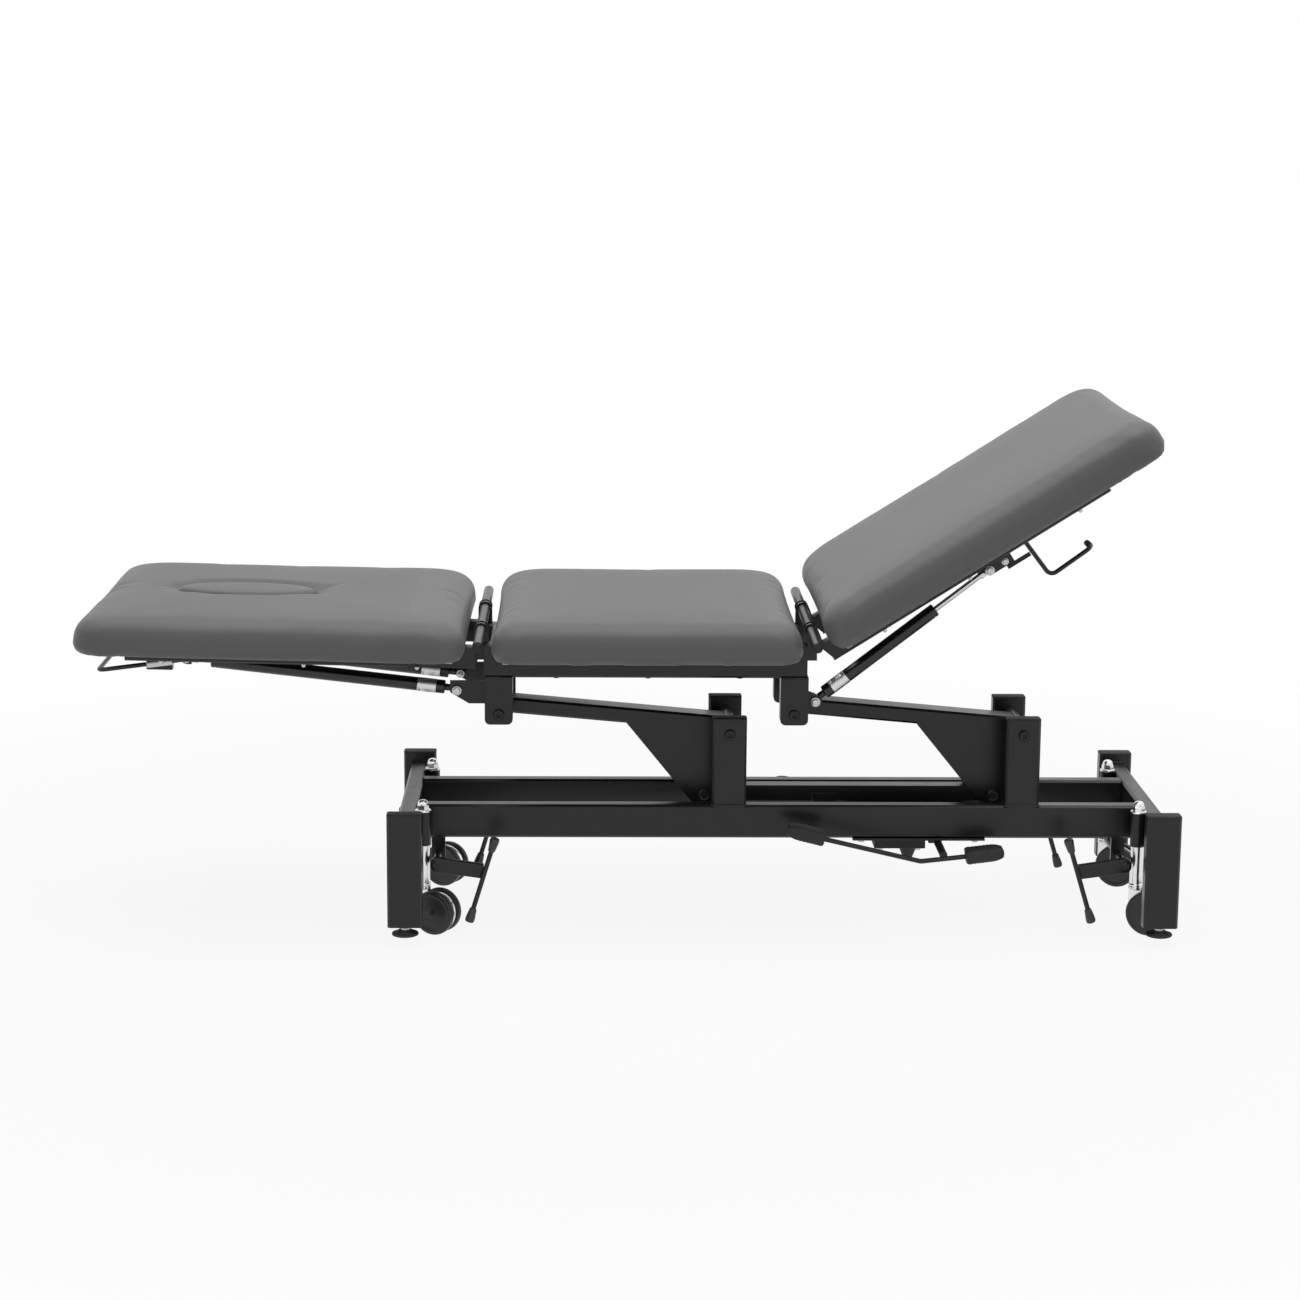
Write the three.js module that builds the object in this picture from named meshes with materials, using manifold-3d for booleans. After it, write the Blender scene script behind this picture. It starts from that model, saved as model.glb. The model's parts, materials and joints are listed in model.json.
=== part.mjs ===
// Hydraulic three-section treatment table, millimetres, +Z up.
// +X runs from the face section to the back section, +Y away from the operator's side.
// The model is built about the middle of its base on the floor, then centred on its own reach.
import * as THREE from 'three';
import { mergeVertices } from 'three/addons/utils/BufferGeometryUtils.js';
import Module from 'manifold-3d';

const wasm = await Module();
wasm.setup();

// General fits
const fitGap = 0.3;
const runningGap = 0.3;
const sideGap = 1;
const cutOverrun = 2;
const snapStep = 0.00001;
const roundSides = 16;
const wheelSides = 20;
const pinSides = 10;
const thinSides = 8;
const ovalSides = 24;

// Steel tube stock
const tubeTall = 60;
const tubeWide = 30;
const tubeWall = 2.5;
const tubeCorner = 4;
const plateThick = 8;

// Base frame
const legCentreX = 655;
const legCentreY = 241;
const legHeight = 198;
const legFloorPlate = 4;
const footClearance = 17;
const barDrop = 15;
const railCentreY = 95;
const postCentreX = -90;
const pivotPitch = 519;
const postTopZ = 370;
const pivotZ = 343;

// Levelling feet
const footHeight = 16;
const footRadius = 23.5;
const footRimHeight = 5;
const footNeckRadius = 9;
const footStudRadius = 5;
const footStudLength = 48;
const footRimShare = 0.5;
const footNeckShare = 0.6;

// Casters
const stemInset = 27.5;
const stemCentreX = legCentreX - stemInset;
const stemCentreY = 158;
const housingRadius = 13.5;
const stemRadius = 11.6;
const stemBottomZ = 84;
const stemTopZ = 182;
const housingRoof = 4;
const collarRadius = 13;
const collarHeight = 4;
const kingpinRadius = 5;
const kingpinDepth = 22;
const capRadius = 11;
const capFlangeRadius = 14;
const capFlangeHeight = 3;
const capHeight = 21;
const capCornerShare = 0.55;
const capProfileShares = [[0.86, 0.78], [0.5, 0.95]];
const casterYaw = THREE.MathUtils.degToRad(-27);
const casterTrail = 27;
const wheelRadius = 39;
const wheelPairWidth = 40;
const wheelSlotWidth = 14;
const treadCorner = 3;
const axleRadius = 5;
const fenderRadius = 36;
const fenderThick = 12;
const forkNeckHalf = 11;
const socketRadius = 13;
const socketThick = 6;

// Caster levers
const leverInset = 51;
const leverPivotX = legCentreX - leverInset;
const leverPivotZ = 125;
const leverShaftRadius = 6;
const leverArmTall = 26;
const leverArmThick = 14;
const leverArmInnerY = 168;
const leverReach = 83;
const leverEndX = leverPivotX - leverReach;
const leverEndZ = 113;
const pedalRodRadius = 4.3;
const leverRodY = 185;
const rockerTopReach = 100;
const rockerTopX = leverPivotX - rockerTopReach;
const rockerTopZ = 163;
const rockerLowReach = 61;
const rockerLowX = leverPivotX - rockerLowReach;
const rockerLowZ = 36;
const knobRadius = 8.5;
const knobLength = 26;
const knobTaperShare = 0.8;
const lugHalf = 12;
const lugDrop = 43;

// Lift arms and tie bar
const armLength = 408;
const armRestAngle = THREE.MathUtils.degToRad(5);
const armWide = 50;
const armTall = 28;
const crossTubeRadius = 13;
const pivotShaftRadius = 8;
const gussetThick = 4;
const gussetReach = 180;
const gussetDepth = 152;
const gussetFootFrom = 46;
const gussetFootTo = 6;
const tiePinX = -30;
const tiePinZ = -131;
const tiePinRadius = 6;
const tiePinHeadRadius = 10;
const tiePinHeadThick = 5;
const tieBarWide = 30;
const tieBarTall = 28;

// Pump and ram
const pumpPlateFromX = 130;
const pumpPlateToX = 365;
const pumpPlateThick = 4;
const pumpBodyFromX = 176;
const pumpBodyToX = 268;
const pumpBodyHalfY = 36;
const pumpBodyTall = 34;
const plungerX = 240;
const plungerRadius = 20;
const plungerNoseRadius = 9;
const plungerDrop = 25;
const ramFootX = 345;
const ramAxisZ = 177;
const ramHeadX = 85;
const ramBarrelRadius = 14.5;
const ramBarrelFromFoot = 14;
const ramBarrelLength = 141;
const ramBoreEndWall = 8;
const ramRodRadius = 8;
const ramRodTail = 218;
const ramEyeRadius = 12;
const ramEyeHalf = 13;
const ramNeckShare = 0.75;
const earThick = 5;

// Pump pedal
const pedalShaftX = 284;
const pedalShaftZ = 143;
const pedalShaftRadius = 7;
const pedalRodY = 176;
const pedalBendX = 244;
const pedalBendZ = 132;
const pedalLongX = 41;
const pedalLongZ = 182;
const pedalShortX = 356;
const pedalShortZ = 146;
const padLength = 68;
const padTall = 27;
const padWide = 40;
const padGrip = 22;
const padNoseShare = 0.45;

// Seat frame and section hinges
const hingeFaceX = -526.5;
const hingeBackX = 48.5;
const hingeZ = 532;
const hingeTubeRadius = 9;
const hingeTubeBore = 6.5;
const hingeTubeLength = 558;
const hingeEyeRadius = 12.3;
const seatLugY = 91;
const memberEndInset = 4;
const bracketWide = 49;
const bracketDrop = 18;
const bracketCorner = 9;
const bracketSteps = 2;
const crossMemberWide = 30;
const crossMemberTall = 40;
const crossMemberInset = 26;

// Upholstery
const cushionWidth = 640;
const cushionThicks = { face: 69, seat: 71, back: 75 };
const cushionDrops = { face: 27, seat: 27, back: 24.6 };
const cushionEndGaps = { face: 13.6, seat: 13.6, back: 14 };
const faceCushionLength = 678;
const backCushionLength = 672;
const cushionCrown = 5;
const cushionPinch = 1;
const endRound = { across: 42, height: 36 };
const sideRound = { across: 30, height: 30 };
const undersideInset = 16;
const undersideRound = 14;
const planCorner = 58;
const faceHoleCentre = 419;
const faceHoleLength = 244;
const faceHoleWidth = 112;
const plugProud = 4;
const plugGap = 0.6;
const plugRound = 9;

// Section frames
const sectionTilts = { face: THREE.MathUtils.degToRad(1.2), back: THREE.MathUtils.degToRad(32.4) };
const sectionTubeWide = 20;
const sectionTubeTall = 40;
const sectionTubeInnerY = 113;
const sectionTubeStart = 8;
const faceFrameLength = 614;
const backFrameLength = 566;
const sectionCrossWide = 30;

// Gas struts
const strutY = 70;
const strutBarrelRadius = 12;
const strutEyeRadius = 9;
const strutEyeHalf = 7;
const strutNeckRadius = 6;
const strutNeckLength = 22;
const strutPinRadius = 5;
const strutRodRadius = 5;
const strutHeadRadius = 7.5;
const strutHeadLength = 20;
const strutEarThick = 5;
const faceStrutFoot = { along: 44, drop: 114.5 };
const faceStrutHead = { along: 516, drop: 72 };
const faceStrutBarrel = 434;
const faceStrutTail = 100;
const backStrutFoot = { along: 12.5, drop: 133.4 };
const backStrutHead = { along: 320, drop: 82.5 };
const backStrutBarrel = 266;
const backStrutTail = 96;
const anchorPlateThick = 6;
const anchorRise = 17;
const anchorNoseReach = 12;
const anchorNoseDrop = 4;
const anchorLowReach = 21;
const anchorLowDrop = 24;
const backAnchorRise = 26;
const backAnchorDrop = 9;
const boltHeadRadius = 8;
const boltHeadThick = 5;

// Release handles
const handleRadius = 4;
const rodBend = 12;
const bendShare = 0.5;
const steepShare = 0.9;
const loopY = 95;
const loopTail = 184;
const loopReach = 54;
const loopInner = { along: faceFrameLength - loopTail, drop: 57 };
const loopOuter = { along: faceFrameLength + loopReach, drop: 93 };
const sleeveInset = 54;
const sleeveLength = 45;
const sleeveTall = 22;
const sleeveWide = 18;
const handleFromStrut = { pivot: 78, elbow: 86, tip: 173 };
const handlePivot = { along: backStrutHead.along + handleFromStrut.pivot, drop: 60 };
const handleElbow = { along: backStrutHead.along + handleFromStrut.elbow, drop: 151 };
const handleTip = { along: backStrutHead.along + handleFromStrut.tip, drop: 145 };
const handleTurnIn = 46;
const strutAnchorReach = 46;
const linkFromStrut = 30;
const linkSag = 15;
const linkTall = 7;
const linkThick = 6;

// Finishes
const finish = (color, roughness, metalness) =>
  new THREE.MeshStandardMaterial({ color, roughness, metalness });
const finishes = {
  frame: () => finish(0x1c1c1d, 0.5, 0.3),
  chrome: () => finish(0xd0d0d2, 0.15, 1),
  rubber: () => finish(0x1a1a1a, 0.8, 0),
  strut: () => finish(0x101010, 0.3, 0.4),
  upholstery: () => finish(0x6b6b6c, 0.55, 0),
  casting: () => finish(0x2a2a2c, 0.6, 0.5),
};

// Geometry to solid and back
function toSolid(geometry) {
  const bare = geometry.clone();
  bare.deleteAttribute('normal');
  bare.deleteAttribute('uv');
  const snap = (value) => Math.round(value / snapStep) * snapStep;
  const snapped = Array.from(bare.attributes.position.array, snap);
  bare.setAttribute('position', new THREE.Float32BufferAttribute(snapped, 3));
  const merged = mergeVertices(bare);
  const corners = merged.index.array;
  const kept = [];
  for (let i = 0; i < corners.length; i += 3) {
    const [a, b, c] = [corners[i], corners[i + 1], corners[i + 2]];
    if (a !== b && b !== c && c !== a) kept.push(a, b, c);
  }
  const vertProperties = Float32Array.from(merged.attributes.position.array);
  return new wasm.Manifold(new wasm.Mesh({ numProp: 3, vertProperties, triVerts: Uint32Array.from(kept) }));
}

function toGeometry(solid) {
  const mesh = solid.getMesh();
  const geometry = new THREE.BufferGeometry();
  geometry.setAttribute('position', new THREE.BufferAttribute(Float32Array.from(mesh.vertProperties), 3));
  geometry.setIndex(new THREE.BufferAttribute(Uint32Array.from(mesh.triVerts), 1));
  geometry.computeVertexNormals();
  return geometry;
}

const join = (...solids) => solids.reduce((whole, next) => whole.add(next));
const cut = (solid, ...tools) => tools.reduce((whole, tool) => whole.subtract(tool), solid);

function fromFaces(vertices, faces) {
  const geometry = new THREE.BufferGeometry();
  geometry.setAttribute('position', new THREE.Float32BufferAttribute(vertices, 3));
  geometry.setIndex(faces);
  return geometry;
}

// Simple solids
function box(x, y, z) {
  const size = [x, y, z].map(([low, high]) => Math.abs(high - low));
  const geometry = new THREE.BoxGeometry(...size);
  return toSolid(geometry.translate(...[x, y, z].map(([low, high]) => (low + high) / 2)));
}

const about = (centre, size) => [centre - size / 2, centre + size / 2];
const boreFor = (radius, count = pinSides) => (radius + runningGap) / Math.cos(Math.PI / count);
const mirrored = (side, low, high) => (side < 0 ? [-high, -low] : [low, high]);

function rodY(radius, x, z, y, sides = pinSides) {
  const geometry = new THREE.CylinderGeometry(radius, radius, Math.abs(y[1] - y[0]), sides);
  return toSolid(geometry.translate(x, (y[0] + y[1]) / 2, z));
}

function rodBetween(from, to, radius, sides = thinSides, radiusTo = radius) {
  const [a, b] = [new THREE.Vector3(...from), new THREE.Vector3(...to)];
  const along = b.clone().sub(a);
  const geometry = new THREE.CylinderGeometry(radiusTo, radius, along.length(), sides);
  const upY = new THREE.Vector3(0, 1, 0);
  const turn = new THREE.Quaternion().setFromUnitVectors(upY, along.clone().normalize());
  geometry.applyQuaternion(turn);
  return toSolid(geometry.translate(...a.add(b).multiplyScalar(0.5).toArray()));
}

// A round rod bent at each inner point, its rings laid on the planes that halve each bend
function bentRod(points, radius) {
  const corners = points.map((point) => new THREE.Vector3(...point));
  const path = [corners[0]];
  for (let i = 1; i < corners.length - 1; i += 1) {
    const [before, at, after] = corners.slice(i - 1, i + 2);
    const entry = at.clone().add(before.clone().sub(at).setLength(rodBend));
    const exit = at.clone().add(after.clone().sub(at).setLength(rodBend));
    path.push(entry, entry.clone().lerp(exit, 0.5).lerp(at, bendShare), exit);
  }
  path.push(corners.at(-1));
  const runs = path.slice(1).map((point, i) => point.clone().sub(path[i]).normalize());
  const steep = Math.abs(runs[0].y) > steepShare;
  const across = steep ? new THREE.Vector3(0, 0, 1) : new THREE.Vector3(0, 1, 0);
  const u = across.cross(runs[0]).normalize();
  const v = runs[0].clone().cross(u);
  let ring = [];
  for (let i = 0; i < thinSides; i += 1) {
    const angle = (i / thinSides) * Math.PI * 2;
    const out = u.clone().multiplyScalar(radius * Math.cos(angle));
    ring.push(path[0].clone().add(out.addScaledVector(v, radius * Math.sin(angle))));
  }
  const vertices = [path[0], ...ring];
  const faces = ring.map((point, i) => [0, 1 + ((i + 1) % thinSides), 1 + i]);
  for (let step = 1; step < path.length; step += 1) {
    const run = runs[step - 1];
    const normal = run.clone().add(runs[step] ?? run).normalize();
    ring = ring.map((point) => {
      const distance = path[step].clone().sub(point).dot(normal) / run.dot(normal);
      return point.clone().addScaledVector(run, distance);
    });
    const [low, high] = [vertices.length - thinSides, vertices.length];
    vertices.push(...ring);
    for (let i = 0; i < thinSides; i += 1) {
      const j = (i + 1) % thinSides;
      faces.push([low + i, low + j, high + j], [low + i, high + j, high + i]);
    }
  }
  const last = vertices.length - thinSides;
  vertices.push(path.at(-1));
  for (let i = 0; i < thinSides; i += 1) {
    faces.push([last + i, last + ((i + 1) % thinSides), vertices.length - 1]);
  }
  return toSolid(fromFaces(vertices.flatMap((point) => point.toArray()), faces.flat()));
}

// An outline in the X-Z plane, made thick along Y
function plateXZ(outline, y, curveSegments = pinSides) {
  const points = () => outline.map(([x, z]) => new THREE.Vector2(x, z));
  const shape = outline instanceof THREE.Shape ? outline : new THREE.Shape(points());
  const depth = Math.abs(y[1] - y[0]);
  const geometry = new THREE.ExtrudeGeometry(shape, { depth, bevelEnabled: false, curveSegments });
  return toSolid(geometry.rotateX(Math.PI / 2).translate(0, Math.max(...y), 0));
}

function easedRectangle(width, height, corner) {
  const [w, h] = [width / 2, height / 2];
  const points = [[w, h - corner], [w - corner, h], [corner - w, h], [-w, h - corner],
    [-w, corner - h], [corner - w, -h], [w - corner, -h], [w, corner - h]];
  return new THREE.Shape(points.map(([x, y]) => new THREE.Vector2(x, y)));
}

// An eye on a web: the web's outline runs tangent on to the eye, which has a hole for its pin
function eyePlate(centre, radius, hole, web, y) {
  const tangent = ([x, z], turn) => {
    const [dx, dz] = [x - centre[0], z - centre[1]];
    return Math.atan2(dz, dx) + turn * Math.acos(radius / Math.hypot(dx, dz));
  };
  const start = tangent(web.at(-1), 1);
  let end = tangent(web[0], -1);
  while (end < start) end += Math.PI * 2;
  const shape = new THREE.Shape(web.map(([x, z]) => new THREE.Vector2(x, z)));
  shape.absarc(...centre, radius, start, end);
  if (hole > 0) {
    const path = new THREE.Path();
    path.absarc(...centre, hole, 0, Math.PI * 2, true);
    shape.holes.push(path);
  }
  return plateXZ(shape, y, roundSides / 2);
}

// A square tube's outside with eased corners, and its hollow
function bar(axis, centre, span, width, height, corner = tubeCorner) {
  const length = Math.abs(span[1] - span[0]);
  const shape = easedRectangle(width, height, corner);
  const geometry = new THREE.ExtrudeGeometry(shape, { depth: length, bevelEnabled: false });
  geometry.translate(0, 0, -length / 2);
  if (axis !== 'Z') geometry.rotateX(Math.PI / 2);
  if (axis === 'X') geometry.rotateZ(Math.PI / 2);
  const middle = (span[0] + span[1]) / 2;
  const place = { X: [middle, ...centre], Y: [centre[0], middle, centre[1]], Z: [...centre, middle] }[axis];
  return toSolid(geometry.translate(...place));
}

// A turned piece: [radius, height] pairs up the Z axis
function turned(profile, sides = roundSides) {
  const points = profile.map(([r, z]) => new THREE.Vector2(r, z));
  return toSolid(new THREE.LatheGeometry(points, sides).rotateX(Math.PI / 2));
}

const table = new THREE.Group();
function place(name, solid, finishName, group = table) {
  const mesh = new THREE.Mesh(toGeometry(solid), finishes[finishName]());
  mesh.name = name;
  group.add(mesh);
}

function groupAt(position, turnY = 0, parent = table) {
  const group = new THREE.Group();
  group.position.set(...position);
  group.rotation.y = turnY;
  parent.add(group);
  return group;
}

const sides = { face: -1, back: 1 };
const flanks = { near: -1, far: 1 };

// Base: rails with posts, end frames with legs and caster housings
const legBottomZ = footClearance + footHeight;
const legTopZ = legBottomZ + legHeight;
const barTopZ = legTopZ - barDrop;
const barBottomZ = barTopZ - tubeTall;
const barCentreZ = barTopZ - tubeTall / 2;
const barInnerX = legCentreX - tubeWide / 2;
const railInnerY = railCentreY - tubeWide / 2;
const railOuterY = railCentreY + tubeWide / 2;
const pivotXs = [postCentreX, postCentreX + pivotPitch];
const hollowWide = tubeWide - 2 * tubeWall;
const hollowTall = tubeTall - 2 * tubeWall;
const shaftHoleRadius = boreFor(pivotShaftRadius);

function sideRail(flank) {
  const y = flank * railCentreY;
  const reach = barInnerX - fitGap;
  const posts = pivotXs.map((x) => bar('Z', [x, y], [barCentreZ, postTopZ], tubeTall, tubeWide));
  const outside = join(bar('X', [y, barCentreZ], [-reach, reach], tubeWide, tubeTall), ...posts);
  const inside = join(
    bar('X', [y, barCentreZ], [-reach - cutOverrun, reach + cutOverrun], hollowWide, hollowTall, tubeWall),
    ...pivotXs.map((x) =>
      bar('Z', [x, y], [barCentreZ, postTopZ - tubeWall], hollowTall, hollowWide, tubeWall)),
  );
  const holes = pivotXs.map((x) => rodY(shaftHoleRadius, x, pivotZ, about(y, tubeWide + cutOverrun)));
  const lugs = Object.values(sides).map((side) => {
    const x = side * leverPivotX;
    const lugZ = [barBottomZ - lugDrop, barBottomZ + tubeWall];
    const lug = box(about(x, 2 * lugHalf), about(y, plateThick), lugZ);
    return cut(lug, rodY(boreFor(leverShaftRadius), x, leverPivotZ, about(y, plateThick + cutOverrun)));
  });
  return join(cut(outside, inside, ...holes), ...lugs);
}

function endFrame(side) {
  const x = side * legCentreX;
  const legs = Object.values(flanks).map((flank) =>
    bar('Z', [x, flank * legCentreY], [legBottomZ, legTopZ], tubeTall, tubeWide));
  const crossBar = bar('Y', [x, barCentreZ], [-legCentreY, legCentreY], tubeWide, tubeTall);
  const housings = Object.values(flanks).map((flank) => rodBetween(
    [side * stemCentreX, flank * stemCentreY, barBottomZ],
    [side * stemCentreX, flank * stemCentreY, barTopZ], housingRadius, roundSides));
  const outside = join(crossBar, ...legs, ...housings);
  const hollows = Object.values(flanks).flatMap((flank) => {
    const y = flank * legCentreY;
    return [
      bar('Z', [x, y], [legBottomZ + legFloorPlate, legTopZ - tubeWall], hollowTall, hollowWide, tubeWall),
      rodBetween([x, y, legBottomZ - cutOverrun], [x, y, legBottomZ + legFloorPlate + cutOverrun],
        boreFor(footStudRadius), pinSides),
      rodBetween([side * stemCentreX, flank * stemCentreY, barBottomZ - cutOverrun],
        [side * stemCentreX, flank * stemCentreY, barTopZ - housingRoof],
        boreFor(stemRadius, roundSides), roundSides),
    ];
  });
  const barHollow = bar('Y', [x + side * tubeWall, barCentreZ], [-legCentreY, legCentreY],
    hollowWide - 2 * tubeWall, hollowTall, tubeWall);
  return cut(outside, ...hollows, barHollow);
}

for (const [flankName, flank] of Object.entries(flanks)) {
  place(`base_rail_${flankName}`, sideRail(flank), 'frame');
}
for (const [endName, side] of Object.entries(sides)) {
  place(`end_frame_${endName}`, endFrame(side), 'frame');
}

// Levelling feet screw into the legs
function levellingFoot() {
  return turned([
    [0, 0], [footRadius, 0], [footRadius, footRimHeight * footRimShare],
    [footRadius - footRimHeight, footRimHeight],
    [footNeckRadius + footRimHeight / 2, footHeight * footNeckShare], [footNeckRadius, footHeight - fitGap],
    [footStudRadius, footHeight - fitGap], [footStudRadius, footHeight + footStudLength],
    [0, footHeight + footStudLength],
  ]);
}

// Caster parts
function casterCap() {
  const dome = capProfileShares.map(([out, up]) => [capRadius * out, capHeight * up]);
  return turned([
    [0, 0], [capFlangeRadius, 0], [capFlangeRadius, capFlangeHeight], [capRadius, capFlangeHeight],
    [capRadius, capHeight * capCornerShare], ...dome, [0, capHeight],
  ], pinSides);
}

function casterStem() {
  const bore = boreFor(kingpinRadius, roundSides);
  return turned([
    [bore, stemBottomZ], [collarRadius, stemBottomZ], [collarRadius, stemBottomZ + collarHeight],
    [stemRadius, stemBottomZ + collarHeight], [stemRadius, stemTopZ], [0, stemTopZ],
    [0, stemBottomZ + kingpinDepth], [bore, stemBottomZ + kingpinDepth], [bore, stemBottomZ],
  ]);
}

function casterHood() {
  const outline = new THREE.Shape();
  outline.absarc(casterTrail, wheelRadius, fenderRadius, 0, Math.PI * 2);
  const axleHole = new THREE.Path();
  axleHole.absarc(casterTrail, wheelRadius, boreFor(axleRadius, roundSides), 0, Math.PI * 2, true);
  outline.holes.push(axleHole);
  const thick = about(0, fenderThick);
  const socketTop = stemBottomZ - fitGap;
  const neckZ = [wheelRadius + forkNeckHalf, socketTop - socketThick / 2];
  const neck = box([-forkNeckHalf, forkNeckHalf], thick, neckZ);
  const socket = rodBetween([0, 0, socketTop - socketThick], [0, 0, socketTop], socketRadius, roundSides);
  const kingpin = rodBetween([0, 0, socketTop - socketThick], [0, 0, stemBottomZ + kingpinDepth - sideGap],
    kingpinRadius, pinSides);
  return join(plateXZ(outline, thick, roundSides), neck, socket, kingpin);
}

function wheelPair() {
  const [outer, inner] = [wheelPairWidth / 2, wheelSlotWidth / 2];
  const half = [
    [wheelRadius - treadCorner, outer], [wheelRadius, outer - treadCorner],
    [wheelRadius, inner], [axleRadius, inner],
  ];
  const lower = half.map(([r, z]) => [r, -z]);
  const profile = [[0, -outer], ...lower, ...half.reverse(), [0, outer]];
  const points = profile.map(([r, z]) => new THREE.Vector2(r, z));
  const geometry = new THREE.LatheGeometry(points, wheelSides);
  return toSolid(geometry.translate(casterTrail, 0, wheelRadius));
}

for (const [endName, side] of Object.entries(sides)) {
  for (const [flankName, flank] of Object.entries(flanks)) {
    const corner = `${endName}_${flankName}`;
    const foot = groupAt([side * legCentreX, flank * legCentreY, footClearance]);
    place(`levelling_foot_${corner}`, levellingFoot(), 'rubber', foot);
    const caster = groupAt([side * stemCentreX, flank * stemCentreY, 0]);
    place(`caster_stem_${corner}`, casterStem(), 'chrome', caster);
    const cap = groupAt([0, 0, barTopZ + fitGap], 0, caster);
    place(`caster_cap_${corner}`, casterCap(), 'chrome', cap);
    const swivel = groupAt([0, 0, 0], 0, caster);
    swivel.rotation.z = casterYaw;
    place(`caster_hood_${corner}`, casterHood(), 'chrome', swivel);
    place(`caster_wheels_${corner}`, wheelPair(), 'rubber', swivel);
  }
}

// Caster levers: a cross shaft with an arm and a two-knob rod on each flank
function casterLever(side) {
  const shaft = rodY(leverShaftRadius, side * leverPivotX, leverPivotZ,
    [-leverArmInnerY - leverArmThick, leverArmInnerY + leverArmThick]);
  const half = leverArmTall / 2;
  const [px, pz, ex, ez] = [side * leverPivotX, leverPivotZ, side * leverEndX, leverEndZ];
  const eyeRadius = lugHalf - sideGap;
  const rise = new THREE.Vector2(rockerTopX - rockerLowX, rockerTopZ - rockerLowZ).normalize();
  const grip = rise.multiplyScalar(knobLength / 2);
  const pieces = Object.values(flanks).flatMap((flank) => {
    const y = mirrored(flank, leverArmInnerY, leverArmInnerY + leverArmThick);
    const rodY0 = flank * leverRodY;
    const knob = (x, z) => rodBetween([side * (x - grip.x), rodY0, z - grip.y],
      [side * (x + grip.x), rodY0, z + grip.y], knobRadius * knobTaperShare, pinSides, knobRadius);
    return [
      plateXZ([[px, pz + half], [px, pz - half], [ex, ez - half], [ex, ez + half]], y),
      rodY(eyeRadius, px, pz, y),
      rodBetween([side * rockerTopX, rodY0, rockerTopZ], [side * rockerLowX, rodY0, rockerLowZ],
        pedalRodRadius),
      knob(rockerTopX, rockerTopZ), knob(rockerLowX, rockerLowZ),
    ];
  });
  return join(shaft, ...pieces);
}
for (const [endName, side] of Object.entries(sides)) {
  place(`caster_lever_${endName}`, casterLever(side), 'frame');
}

// Lift arms: a box arm between two cross tubes, with twin gusset plates for the tie bar
const betweenPosts = [-railInnerY + sideGap, railInnerY - sideGap];
const gussetOuterY = armWide / 2;
const gussetInnerY = gussetOuterY - gussetThick;

function liftArm() {
  const tubes = [0, -armLength].map((x) => rodY(crossTubeRadius, x, 0, betweenPosts, roundSides));
  const bores = [0, -armLength].map((x) => rodY(shaftHoleRadius, x, 0, [-railInnerY, railInnerY]));
  const outline = [[-gussetReach, 0], [-gussetReach, -armTall / 2], [-gussetFootFrom, -gussetDepth],
    [-gussetFootTo, -gussetDepth], [crossTubeRadius / 2, 0]];
  const gussets = Object.values(flanks).map((flank) =>
    plateXZ(outline, mirrored(flank, gussetInnerY, gussetOuterY)));
  const beam = bar('X', [0, 0], [-armLength, 0], armWide, armTall, tubeCorner);
  const hollow = bar('X', [0, 0], [-armLength, 0], armWide - 2 * tubeWall, armTall - 2 * tubeWall, tubeWall);
  const headY = [gussetInnerY + sideGap, gussetOuterY + tiePinHeadThick];
  const heads = Object.values(flanks).map((flank) =>
    rodY(tiePinHeadRadius, tiePinX, tiePinZ, mirrored(flank, ...headY)));
  const pin = rodY(tiePinRadius, tiePinX, tiePinZ, [-gussetOuterY, gussetOuterY]);
  return join(cut(join(beam, ...tubes, ...gussets), hollow, ...bores), pin, ...heads);
}

function pivotShaft() {
  return rodY(pivotShaftRadius, 0, 0, [-railOuterY + sideGap, railOuterY - sideGap]);
}

const armRun = armLength * Math.cos(armRestAngle);
const armRise = armLength * Math.sin(armRestAngle);
const seatPivotXs = pivotXs.map((x) => x - armRun);
const seatPivotZ = pivotZ + armRise;
const axisY = new THREE.Vector3(0, 1, 0);
const tieOffset = new THREE.Vector3(tiePinX, 0, tiePinZ).applyAxisAngle(axisY, armRestAngle);
const ends = Object.keys(sides);
pivotXs.forEach((x, i) => {
  const arm = groupAt([x, 0, pivotZ], armRestAngle);
  place(`lift_arm_${ends[i]}`, liftArm(), 'frame', arm);
  place(`lift_pivot_shaft_${ends[i]}`, pivotShaft(), 'chrome', groupAt([x, 0, pivotZ]));
});

const tiePinXs = pivotXs.map((x) => x + tieOffset.x);
const tieZ = pivotZ + tieOffset.z;
function tieBar() {
  const bossHalf = gussetInnerY - sideGap / 2;
  const bosses = tiePinXs.map((x) => rodY(tieBarTall / 2, x, tieZ, [-bossHalf, bossHalf], roundSides));
  const holes = tiePinXs.map((x) => rodY(boreFor(tiePinRadius), x, tieZ, [-armWide, armWide]));
  const beam = box(tiePinXs, about(0, tieBarWide), about(tieZ, tieBarTall));
  const [earInner, earOuter] = [ramEyeHalf + runningGap, ramEyeHalf + runningGap + earThick];
  const ears = Object.values(flanks).flatMap((flank) => {
    const web = [[ramHeadX + 2 * ramEyeRadius, tieZ], [ramHeadX - 2 * ramEyeRadius, tieZ]];
    return [
      eyePlate([ramHeadX, ramAxisZ], ramEyeRadius, 0, web, mirrored(flank, earInner, earOuter)),
      rodY(tiePinRadius, ramHeadX, ramAxisZ, mirrored(flank, earInner + sideGap, earOuter + earThick)),
    ];
  });
  return join(cut(join(beam, ...bosses), ...holes), ...ears);
}
place('tie_bar', tieBar(), 'frame');

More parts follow.
